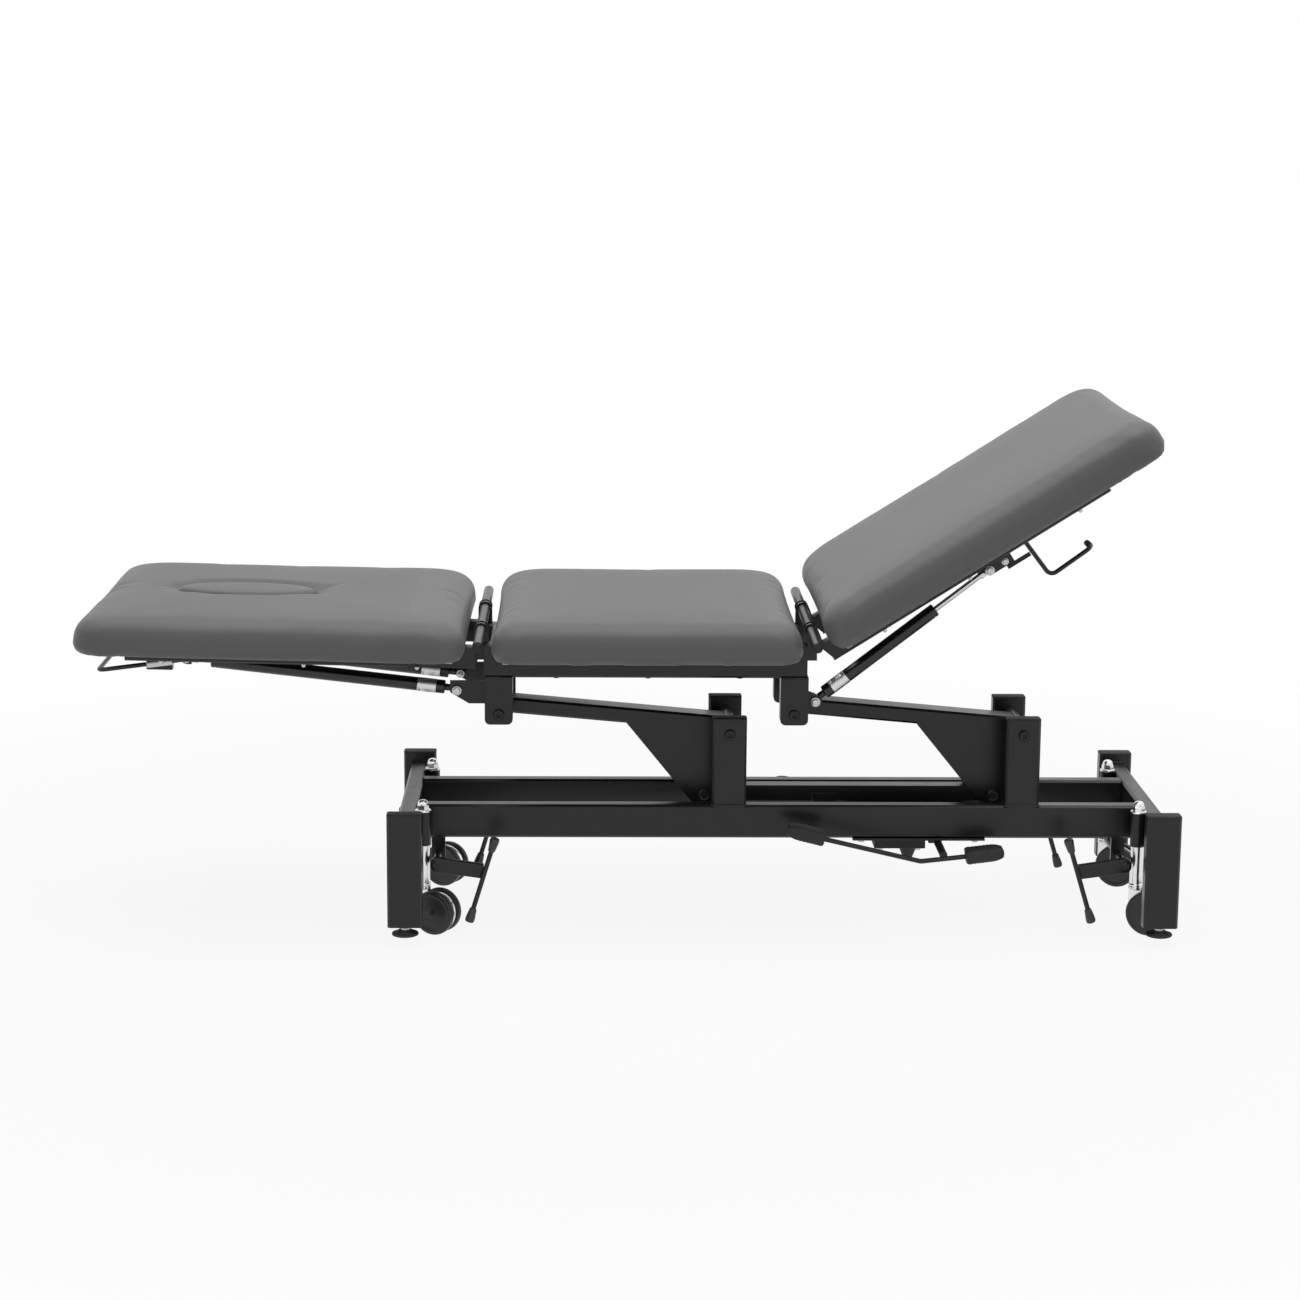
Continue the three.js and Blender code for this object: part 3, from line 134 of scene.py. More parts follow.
class MetalSettings(bpy.types.PropertyGroup):
    coat: FloatVectorProperty(name="Powder coat", description="Colour of the coated tubes",
                              subtype="COLOR", size=3, min=0, max=1, default=(0.008, 0.008, 0.0083))
    easing: FloatProperty(name="Edge easing", description="Width of the small round on tube and plate edges",
                          subtype="DISTANCE", unit="LENGTH", default=0.0019, min=0.0002, max=0.004)
    rod_sides: IntProperty(name="Rod sides", description="Sides of a bent round rod", default=20, min=8, max=48)


class StageSettings(bpy.types.PropertyGroup):
    floor: FloatVectorProperty(name="Floor colour", description="Colour of the floor and backdrop",
                               subtype="COLOR", size=3, min=0, max=1, default=(0.94, 0.94, 0.94))
    key: FloatProperty(name="Top light", description="Power of the large light above", subtype="POWER",
                       default=94.0, min=0)
    fill: FloatProperty(name="Front light", description="Power of the large light in front", subtype="POWER",
                        default=8.0, min=0)
    sky: FloatProperty(name="Sky", description="Strength of the even light from all round", default=0.14, min=0)


# Shader maths as plain expressions
class Value:
    """A shader socket that adds Math nodes when it is used in an expression."""

    def __init__(self, tree, socket):
        self.tree, self.socket = tree, socket

    def _math(self, operation, first, second, clamp=False):
        return self.tree.node("ShaderNodeMath", {"operation": operation, "use_clamp": clamp}, {0: first, 1: second})

    def __add__(self, other):
        return self._math("ADD", self, other)

    __radd__ = __add__

    def __sub__(self, other):
        return self._math("SUBTRACT", self, other)

    def __rsub__(self, other):
        return self._math("SUBTRACT", other, self)

    def __mul__(self, other):
        return self._math("MULTIPLY", self, other)

    __rmul__ = __mul__

    def clamped(self):
        return self._math("ADD", self, 0.0, clamp=True)

    def between(self, low, high):
        """0 below low, 1 above high and smooth between."""
        return self.tree.node("ShaderNodeMapRange", {"interpolation_type": "SMOOTHSTEP"},
                              {"Value": self, "From Min": low, "From Max": high})


class Finish:
    """One procedural material, built on a Principled BSDF."""

    def __init__(self, name):
        self.material = bpy.data.materials.new(name)
        self.material.use_nodes = True
        self.nodes = self.material.node_tree.nodes
        self.links = self.material.node_tree.links
        self.shader = next(node for node in self.nodes if node.type == "BSDF_PRINCIPLED")
        self.place = self.node("ShaderNodeTexCoord", output="Object")

    def node(self, kind, settings=None, values=None, output=0):
        made = self.nodes.new(kind)
        for key, value in (settings or {}).items():
            setattr(made, key, value)
        for key, value in (values or {}).items():
            self.feed(made.inputs[key], value)
        return Value(self, made.outputs[output])

    def feed(self, socket, value):
        if isinstance(value, Value):
            self.links.new(value.socket, socket)
        else:
            socket.default_value = value

    def filled(self, values):
        """The material, with values or sockets fed into its shader."""
        for name, value in values.items():
            self.feed(self.shader.inputs[name], value)
        return self.material

    def noise(self, size, detail=3.0, rough=0.5, place=None):
        """Noise whose blobs are about size metres wide, from 0 to 1."""
        return self.node("ShaderNodeTexNoise", None, {"Vector": place or self.place, "Scale": 1 / size,
                                                       "Detail": detail, "Roughness": rough}, "Fac")

    def pebbles(self, size):
        return self.node("ShaderNodeTexVoronoi", {"feature": "SMOOTH_F1"},
                         {"Vector": self.place, "Scale": 1 / size}, "Distance")

    def stretched(self, factors):
        return self.node("ShaderNodeVectorMath", {"operation": "MULTIPLY"}, {0: self.place, 1: factors})

    def mix(self, factor, first, second):
        """Two colours mixed by a factor."""
        return self.node("ShaderNodeMix", {"data_type": "RGBA"}, {"Factor": factor, 6: (*first, 1), 7: (*second, 1)}, 2)

    def bump(self, height, distance, strength, after=None):
        values = {"Height": height, "Distance": distance, "Strength": strength}
        if after is not None:
            values["Normal"] = after
        return self.node("ShaderNodeBump", None, values)


def shade(colour, factor):
    return tuple(channel * factor for channel in colour)


def cover_finish(settings):
    """Coated upholstery cover: fine pebble grain, faint pulls and an uneven sheen."""
    finish = Finish("grained cover")
    colour = tuple(settings.colour)
    grain = finish.pebbles(settings.grain)
    fine = finish.noise(settings.grain * 0.6, 2.0)
    pulls = finish.noise(0.09, 3.0, 0.45, finish.stretched((1.0, 0.45, 1.0)))
    cloud = finish.noise(0.16, 2.0)
    patches = (cloud * 0.7 + grain * 0.3).clamped()
    relief = finish.bump(grain * 0.7 + fine * 0.3, 0.00007, 0.55)
    return finish.filled({"Base Color": finish.mix(patches, shade(colour, 0.93), shade(colour, 1.06)),
                          "Roughness": 0.47 + 0.1 * cloud - 0.06 * grain,
                          "Normal": finish.bump(pulls, 0.0016, 0.5, after=relief),
                          "Specular IOR Level": 0.3, "Sheen Weight": 0.05, "Sheen Roughness": 0.45})


def coat_finish(name, colour, roughness=0.27, peel=0.0011, depth=0.00005, dust=0.12, specular=0.4):
    """Powder coat or enamel with orange peel, and a little dust on what faces up."""
    finish = Finish(name)
    peel_height = finish.noise(peel, 2.0)
    wear = finish.noise(0.035, 4.0, 0.6)
    normal = finish.node("ShaderNodeNewGeometry", output="Normal")
    facing = finish.node("ShaderNodeSeparateXYZ", None, {0: normal}, 2)
    settled = facing.between(0.55, 0.98) * finish.noise(0.012, 4.0, 0.7).between(0.35, 0.75) * dust
    return finish.filled({"Base Color": finish.mix(settled, colour, (0.16, 0.16, 0.16)),
                          "Roughness": roughness + 0.08 * wear + 0.3 * settled,
                          "Normal": finish.bump(peel_height, depth, 0.5), "Specular IOR Level": specular})


def plated_finish(name, colour, roughness, brushed=(1.0, 1.0, 0.06)):
    """Bright plated metal with hairline wipe marks and a faint haze."""
    finish = Finish(name)
    haze = finish.noise(0.022, 4.0, 0.6)
    marks = finish.noise(0.0006, 2.0, 0.5, finish.stretched(brushed))
    return finish.filled({"Metallic": 1.0,
                          "Base Color": finish.mix(haze.between(0.3, 0.8), shade(colour, 0.94), colour),
                          "Roughness": roughness + 0.07 * haze + 0.03 * marks,
                          "Normal": finish.bump(marks, 0.00001, 0.2)})


def rubber_finish(name, colour, roughness=0.62, grain=0.0009):
    """Moulded rubber or nylon: matt, slightly mottled, with greyed high spots."""
    finish = Finish(name)
    rubbed = finish.noise(0.006, 3.0, 0.65).between(0.6, 0.8) * 0.25
    return finish.filled({"Base Color": finish.mix(rubbed, colour, (0.09, 0.09, 0.09)),
                          "Roughness": roughness + 0.12 * finish.noise(0.018, 4.0, 0.6),
                          "Normal": finish.bump(finish.noise(grain, 2.0), 0.00006, 0.5)})


def cast_finish(colour):
    """Painted casting with a sandy skin."""
    finish = Finish("pump casting")
    stain = finish.noise(0.03, 3.0)
    return finish.filled({"Metallic": 0.25, "Base Color": finish.mix(stain, shade(colour, 0.8), shade(colour, 1.25)),
                          "Roughness": 0.5 + 0.15 * stain,
                          "Normal": finish.bump(finish.noise(0.0022, 4.0, 0.6), 0.00025, 0.6)})


def floor_finish(colour):
    """Plain pale floor: it fades to white away from the table and keeps the table's shadow."""
    finish = Finish("pale floor")
    mottle = finish.noise(0.4, 3.0)
    material = finish.filled({"Base Color": finish.mix(mottle, shade(colour, 0.985), colour),
                              "Roughness": 0.7 + 0.1 * mottle, "Specular IOR Level": 0.15})
    away = finish.node("ShaderNodeVectorMath", {"operation": "LENGTH"}, {0: finish.place}, "Value")
    camera, glossy, clear = (finish.node("ShaderNodeLightPath", output=f"Is {ray} Ray")
                             for ray in ("Camera", "Glossy", "Transmission"))
    white = finish.node("ShaderNodeEmission", None, {"Color": (1, 1, 1, 1), "Strength": 1.0})
    plain = Value(finish, finish.shader.outputs[0])
    fade = (camera + glossy + clear).clamped() * (0.9 + 0.1 * away.between(1.1, 2.6))
    blend = finish.node("ShaderNodeMixShader", None, {0: fade, 1: plain, 2: white})
    output = next(node for node in finish.nodes if node.type == "OUTPUT_MATERIAL")
    finish.feed(output.inputs["Surface"], blend)
    return material


# Mesh tools
def new_piece(name, mesh, material):
    piece = bpy.data.objects.new(name, mesh)
    bpy.context.scene.collection.objects.link(piece)
    mesh.materials.clear()
    mesh.materials.append(material)
    return piece


def smooth(mesh, limit):
    """Smooth shading, with edges sharper than limit degrees kept sharp."""
    mesh.polygons.foreach_set("use_smooth", [True] * len(mesh.polygons))
    mesh.set_sharp_from_angle(angle=math.radians(limit))


def merge(form, weld=WELD):
    """Joins doubled points and turns the faces outward."""
    bmesh.ops.remove_doubles(form, verts=form.verts, dist=weld)
    bmesh.ops.recalc_face_normals(form, faces=form.faces)


def new_mesh(name, form):
    mesh = bpy.data.meshes.new(name)
    form.to_mesh(mesh)
    form.free()
    return mesh


def from_bmesh(name, form, key, limit=32, weld=WELD):
    merge(form, weld)
    mesh = new_mesh(name, form)
    smooth(mesh, limit)
    return new_piece(name, mesh, FINISHES[key])


def dressed(piece, body, nodes=()):
    """Puts a finished piece on its body and hides the CAD nodes it stands for."""
    if nodes:
        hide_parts(*nodes)
    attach(piece, body)
    return piece


def made(name, form, key, body, node=None, limit=32, weld=WELD):
    """A piece from a drawn form, in place of a CAD node where one is named."""
    piece = from_bmesh(name, form, key, limit, weld)
    return dressed(piece, body, [node]) if node else dressed(piece, body)


def turned(name, key, body, node, shapes, limit=32):
    """A piece of turned shapes, each given as a profile, an axis, an origin and a count of sides."""
    form = bmesh.new()
    for shape in shapes:
        lathe(form, *shape)
    return made(name, form, key, body, node, limit)


def cad_form(node):
    """A merged copy of a CAD node's faces."""
    form = bmesh.new()
    form.from_mesh(frame["nodes"][node].data)
    bmesh.ops.remove_doubles(form, verts=form.verts, dist=2e-6)
    return form


def applied(piece):
    """The piece with its modifiers worked into its mesh."""
    depsgraph = bpy.context.evaluated_depsgraph_get()
    mesh = bpy.data.meshes.new_from_object(piece.evaluated_get(depsgraph))
    piece.modifiers.clear()
    old, piece.data = piece.data, mesh
    bpy.data.meshes.remove(old)
    return piece


def eased_copy(node, name, body, width, key="coat"):
    """A CAD node's tubes or plates with flat areas made whole and sharp edges rounded a little."""
    form = cad_form(node)
    bmesh.ops.dissolve_degenerate(form, edges=form.edges, dist=1e-6)
    bmesh.ops.dissolve_limit(form, angle_limit=math.radians(0.6), verts=form.verts, edges=form.edges)
    piece = from_bmesh(name, form, key)
    ease = piece.modifiers.new("ease", "BEVEL")
    ease.width = width
    ease.segments = 3
    ease.harden_normals = True
    ease.limit_method = "ANGLE"
    ease.angle_limit = math.radians(30)
    ease.use_clamp_overlap = True
    return dressed(applied(piece), body, [node])


def join_rings(form, rings):
    """Faces between neighbouring rings of points; a ring of one point makes a fan."""
    for low, high in zip(rings, rings[1:]):
        sides = max(len(low), len(high))
        for i in range(sides):
            j = (i + 1) % sides
            corners = [low[i % len(low)], low[j % len(low)], high[j % len(high)], high[i % len(high)]]
            unique = list(dict.fromkeys(corners))
            if len(unique) > 2:
                form.faces.new(unique)


def capped_rings(form, rings):
    join_rings(form, rings)
    form.faces.new(rings[0][::-1])
    form.faces.new(rings[-1])


def lathe(form, profile, axis, origin, sides):
    """Adds a turned shape: (radius, height) pairs up an axis from an origin."""
    axis = axis.normalized()
    u = axis.orthogonal().normalized()
    v = axis.cross(u)
    rings = []
    for radius, height in profile:
        centre = origin + axis * height
        if radius <= 1e-9:
            rings.append([form.verts.new(centre)])
        else:
            rings.append([form.verts.new(centre + (u * math.cos(a) + v * math.sin(a)) * radius)
                          for a in (math.tau * i / sides for i in range(sides))])
    join_rings(form, rings)


def slab(form, outline, axis, low, high):
    """Adds a plate: a list of points in a plane, made thick along an axis between two offsets."""
    bottom = [form.verts.new(point + axis * low) for point in outline]
    top = [form.verts.new(point + axis * high) for point in outline]
    form.faces.new(bottom[::-1])
    form.faces.new(top)
    join_rings(form, [bottom, top])


def mirrored(half, closed=False):
    """A profile with its half above height 0 added, and closed on itself when it has a bore."""
    return half + [(radius, -height) for radius, height in reversed(half)] + (half[:1] if closed else [])


def pin(radius, half, ease, bore=0.0, end_ease=None):
    """The profile of a round pin, or of a bush when it has a bore, with eased ends."""
    eased = half - (ease if end_ease is None else end_ease)
    return mirrored([(bore, -half), (radius - ease, -half), (radius, -eased)], bore > 0)


# Geometry Nodes trees
def new_tree(name, inputs):
    tree = bpy.data.node_groups.new(name, "GeometryNodeTree")
    tree.interface.new_socket("Geometry", in_out="INPUT", socket_type="NodeSocketGeometry")
    for label, kind, default in inputs:
        socket = tree.interface.new_socket(label, in_out="INPUT", socket_type=kind)
        if default is not None:
            socket.default_value = default
    tree.interface.new_socket("Geometry", in_out="OUTPUT", socket_type="NodeSocketGeometry")
    return tree, tree.nodes.new("NodeGroupInput").outputs


def tree_node(tree, kind, settings=None, values=None):
    """A new node with its settings and inputs; gives its outputs."""
    made_node = tree.nodes.new(kind)
    for key, value in (settings or {}).items():
        setattr(made_node, key, value)
    for key, value in (values or {}).items():
        if hasattr(value, "is_output"):
            tree.links.new(value, made_node.inputs[key])
        else:
            made_node.inputs[key].default_value = value
    return made_node.outputs


def finish_tree(tree, geometry, material):
    realized = tree_node(tree, "GeometryNodeRealizeInstances", None, {"Geometry": geometry})
    painted = tree_node(tree, "GeometryNodeSetMaterial", None, {"Geometry": realized[0], "Material": material})
    tree_node(tree, "NodeGroupOutput", None, {0: painted[0]})
    return tree


def rod_tree():
    """A round rod along a drawn path, with its bends filleted."""
    tree, source = new_tree("bent rod", [("Radius", "NodeSocketFloat", 0.004), ("Bend", "NodeSocketFloat", 0.012),
                                         ("Sides", "NodeSocketInt", 20), ("Material", "NodeSocketMaterial", None)])
    path = tree_node(tree, "GeometryNodeMeshToCurve", None, {0: source["Geometry"]})
    bent = tree_node(tree, "GeometryNodeFilletCurve", {"mode": "POLY"},
                     {"Curve": path[0], "Count": 8, "Radius": source["Bend"], "Limit Radius": True})
    ring = tree_node(tree, "GeometryNodeCurvePrimitiveCircle", None,
                     {"Resolution": source["Sides"], "Radius": source["Radius"]})
    swept = tree_node(tree, "GeometryNodeCurveToMesh", None,
                      {"Curve": bent[0], "Profile Curve": ring[0], "Fill Caps": True})
    soft = tree_node(tree, "GeometryNodeSetShadeSmooth", None, {0: swept[0]})
    return finish_tree(tree, soft[0], source["Material"])


def fastener_tree():
    """One small part set on every drawn point, at that point's size and along its aim."""
    tree, source = new_tree("fasteners", [("Part", "NodeSocketObject", None),
                                          ("Material", "NodeSocketMaterial", None)])
    part = tree_node(tree, "GeometryNodeObjectInfo", None, {"Object": source["Part"]})
    aim = tree_node(tree, "GeometryNodeInputNamedAttribute", {"data_type": "FLOAT_VECTOR"}, {"Name": "aim"})
    size = tree_node(tree, "GeometryNodeInputNamedAttribute", {"data_type": "FLOAT"}, {"Name": "size"})
    turn = tree_node(tree, "FunctionNodeAlignRotationToVector", {"axis": "Z"}, {"Vector": aim[0]})
    placed = tree_node(tree, "GeometryNodeInstanceOnPoints", None,
                       {"Points": source["Geometry"], "Instance": part["Geometry"],
                        "Rotation": turn[0], "Scale": size[0]})
    return finish_tree(tree, placed[0], source["Material"])


def run_tree(piece, tree, values):
    """Runs a tree on a piece and keeps its result as a plain mesh."""
    modifier = piece.modifiers.new(tree.name, "NODES")
    modifier.node_group = tree
    for item in tree.interface.items_tree:
        if item.in_out == "INPUT" and item.name in values:
            modifier[item.identifier] = values[item.name]
    applied(piece)


def bent_rod(name, points, radius, bend, sides):
    """A coated round rod through points."""
    mesh = bpy.data.meshes.new(name)
    mesh.from_pydata([tuple(point) for point in points], [(i, i + 1) for i in range(len(points) - 1)], [])
    piece = new_piece(name, mesh, FINISHES["coat"])
    run_tree(piece, TREES["rod"], {"Radius": radius, "Bend": bend, "Sides": sides, "Material": FINISHES["coat"]})
    clean = bmesh.new()
    clean.from_mesh(piece.data)
    merge(clean)
    clean.to_mesh(piece.data)
    clean.free()
    smooth(piece.data, 50)
    return piece


def weld_bead(name, loops, body, radius=0.0019):
    """Coated weld beads along closed or open paths, as one piece on a body."""
    step, lumps, lump_height = 0.0016, 520, 0.3
    form = bmesh.new()
    for points in loops:
        fine = []
        for start, end in zip(points, points[1:]):
            steps = max(2, int((end - start).length / step))
            fine += [start.lerp(end, i / steps) for i in range(steps)]
        bead = bent_rod(name, fine + [points[-1]], radius, 0.0, 10)
        for vertex in bead.data.vertices:
            vertex.co += Vector((1, 1, 1)) * noise.noise(vertex.co * lumps) * radius * lump_height
        form.from_mesh(bead.data)
        bpy.data.objects.remove(bead)
    return made(name, form, "coat", body, limit=60, weld=1e-7)


def fasteners(name, part, key, body, spots):
    """Copies of a small part on points (place, aim, size), as one piece on a body."""
    mesh = bpy.data.meshes.new(name)
    mesh.from_pydata([tuple(place) for place, aim, size in spots], [], [])
    mesh.attributes.new("aim", "FLOAT_VECTOR", "POINT")
    mesh.attributes.new("size", "FLOAT", "POINT")
    for index, (place, aim, size) in enumerate(spots):
        mesh.attributes["aim"].data[index].vector = aim
        mesh.attributes["size"].data[index].value = size
    piece = new_piece(name, mesh, FINISHES[key])
    run_tree(piece, TREES["fasteners"], {"Part": PARTS[part], "Material": FINISHES[key]})
    smooth(piece.data, 32)
    return dressed(piece, body)


def end_spots(centre, reach, size):
    """Fastener spots on both ends of a cross shaft, that far from its centre."""
    return [(centre + AXIS_Y * side * reach, AXIS_Y * side, size) for side in (-1, 1)]


def small_part(name, turnings=(), slabs=()):
    """A hidden pattern part along Z for the fastener tree, drawn once at 1 unit of size."""
    form = bmesh.new()
    for profile, sides in turnings:
        lathe(form, profile, AXIS_Z, Vector((0, 0, 0)), sides)
    for left, right, low, high in slabs:
        corners = ((left, -0.1), (right, -0.1), (right, 0.1), (left, 0.1))
        slab(form, [Vector((x, y, 0)) for x, y in corners], AXIS_Z, low, high)
    merge(form, 1e-7)
    return bpy.data.objects.new(name, new_mesh(name, form))


# Upholstery
def swollen(piece, settings):
    """Swells a pad with cloth pressure, capped so that it keeps its place."""
    last_frame = 20
    rest = [vertex.co.copy() for vertex in piece.data.vertices]
    scene = bpy.context.scene
    cloth = piece.modifiers.new("swell", "CLOTH")
    cloth.settings.use_pressure = True
    cloth.settings.uniform_pressure_force = settings.pressure
    cloth.settings.effector_weights.gravity = 0
    cloth.settings.quality = 4
    cloth.settings.mass = 0.3
    cloth.settings.tension_stiffness = 25
    cloth.settings.compression_stiffness = 25
    cloth.settings.bending_stiffness = 2.5
    cloth.point_cache.frame_start = 1
    cloth.point_cache.frame_end = last_frame
    for step in range(1, last_frame + 1):
        scene.frame_set(step)
    applied(piece)
    scene.frame_set(1)
    for vertex, place in zip(piece.data.vertices, rest):
        move = vertex.co - place
        if move.length > settings.swell:
            vertex.co = place + move.normalized() * settings.swell


def relax(piece, rounds):
    """Adds a smoothing of the piece, for the next apply."""
    soften = piece.modifiers.new("relax", "SMOOTH")
    soften.iterations = rounds
    soften.factor = 0.5


def edge_ripple(piece, section):
    """Small pulls of the cover along the lower edge, where it is turned under the board."""
    top, fade, rise, spread = 0.034, 0.02, 0.0016, 0.0011
    origin, along, up = section_frame(section)
    for vertex in piece.data.vertices:
        local = vertex.co - origin
        height = local.dot(up) + DROPS[section]
        if height > top:
            continue
        place = Vector((local.dot(along), vertex.co.y, 0))
        pull = noise.noise(place * 34) * 0.6 + noise.noise(place * 90) * 0.4
        weight = max(0.0, min(1.0, (top - height) / fade)) * max(0.0, min(1.0, (height - 0.001) / 0.004))
        vertex.co += up * pull * weight * rise
        vertex.co += Vector((0, math.copysign(1, vertex.co.y), 0)) * pull * weight * spread


def fill_lower_edge(piece, section):
    """Brings the lower edge out to a tighter round, where the cover is pulled down hard."""
    origin, _, up = section_frame(section)
    reach, top = 0.008, 0.021
    normals = [vertex.normal.copy() for vertex in piece.data.vertices]
    for vertex, normal in zip(piece.data.vertices, normals):
        height = (vertex.co - origin).dot(up) + DROPS[section]
        outward = normal - up * normal.dot(up)
        if height < top and outward.length > 0.05:
            share = (1 - max(height, 0) / top) * min(1.0, outward.length / 0.45)
            vertex.co += outward.normalized() * reach * share


def flatten_underside(piece, section):
    """Lays the underside flat on its board."""
    origin, _, up = section_frame(section)
    facing = [vertex.normal.dot(up) for vertex in piece.data.vertices]
    for vertex, lean in zip(piece.data.vertices, facing):
        height = (vertex.co - origin).dot(up) + DROPS[section]
        under = lean < -0.8 and height < 0.012
        if under or height < BOARD_GAP:
            vertex.co += up * (BOARD_GAP - height)


def pad(section, settings):
    """A cushion, shrunk from its CAD block, swollen again and laid on its board."""
    form = cad_form(f"{section}_cushion")
    for vertex in form.verts:
        vertex.normal_update()
    shrink = settings.swell * 0.55
    moves = [(vertex, -vertex.normal * shrink) for vertex in form.verts]
    for vertex, move in moves:
        vertex.co += move
    piece = from_bmesh(f"{section}_pad", form, "cover", limit=180)
    remesh = piece.modifiers.new("voxels", "REMESH")
    remesh.mode = "VOXEL"
    remesh.voxel_size = settings.voxel
    relax(piece, 6)
    applied(piece)
    swollen(piece, settings)
    relax(piece, 2)
    applied(piece)
    fill_lower_edge(piece, section)
    edge_ripple(piece, section)
    flatten_underside(piece, section)
    round_off = piece.modifiers.new("round", "SUBSURF")
    round_off.levels = round_off.render_levels = 1
    applied(piece)
    smooth(piece.data, 180)
    dressed(piece, body_of(section), [f"{section}_cushion"])


def oval_plug():
    """The face plug: an oval pad with a rolled edge and a slightly crowned top."""
    thick, half_long, half_wide, edge, sides = 0.0722, 0.1212, 0.0552, 0.012, 96
    origin, along, up = section_frame("face")
    centre = middle("face_plug")
    base = centre - up * (centre - origin).dot(up)
    bottom = BOARD_GAP - DROPS["face"]
    top = bottom + thick
    profile = [(0.0, bottom), (0.9, bottom), (0.97, bottom + 0.004), (1.0, bottom + edge)]
    profile += [(1.0, bottom + edge + (thick - 2 * edge) * share) for share in (0.25, 0.5, 0.75, 1)]
    for step in range(1, 7):
        angle = step / 6 * math.pi / 2
        profile.append((1 - 0.115 * (1 - math.cos(angle)), top - edge + 0.0105 * math.sin(angle)))
    profile += [(0.8, top - 0.0007), (0.6, top + 0.0001), (0.3, top + 0.0003), (0.0, top + 0.0003)]
    form = bmesh.new()
    rings = []
    for radius, height in profile:
        angles = [math.tau * i / sides for i in range(sides if radius else 1)]
        rings.append([form.verts.new(base + along * half_long * radius * math.cos(angle)
                                     + AXIS_Y * half_wide * radius * math.sin(angle) + up * height)
                      for angle in angles])
    join_rings(form, rings)
    piece = from_bmesh("plug_pad", form, "cover", limit=180)
    dressed(piece, "face_plug", ["face_plug"])


def staple_rows(section):
    """Staples that hold the cover under a cushion, round its edge."""
    inset, step, size = 0.034, 0.026, 0.0052
    half = CUSHION_HALF - inset
    start, end = SPANS[section][0] + inset, SPANS[section][1] - inset
    places = [(start + index * step, flank * half) for index in range(int((end - start) / step) + 1)
              for flank in (-1, 1)]
    places += [(s, index * step - half) for index in range(1, int(2 * half / step)) for s in (start, end)]
    up = section_frame(section)[2]
    return [(on_section(section, s, DROPS[section], y), -up, size) for s, y in places]


class TABLE_OT_upholstery(bpy.types.Operator):
    """Makes the three cushions and the face plug"""

    bl_idname = "table.upholstery"
    bl_label = "Upholstery"

    def execute(self, context):
        for section in ("face", "seat", "back"):
            pad(section, context.scene.table_upholstery)
            fasteners(f"{section}_staples", "staple", "zinc", body_of(section), staple_rows(section))
        oval_plug()
        return {"FINISHED"}


# Base
def leg_x(end):
    """Where the legs of an end frame stand along the table."""
    low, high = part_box(f"end_frame_{end}")
    return high.x - 0.03 if end == "back" else low.x + 0.03


def post_spots(z):
    """Points at one height on the four posts of the lift."""
    return [Vector((post.x, y, z)) for post in (pivot("lift"), pivot("lift_back")) for y in (-RAIL_Y, RAIL_Y)]


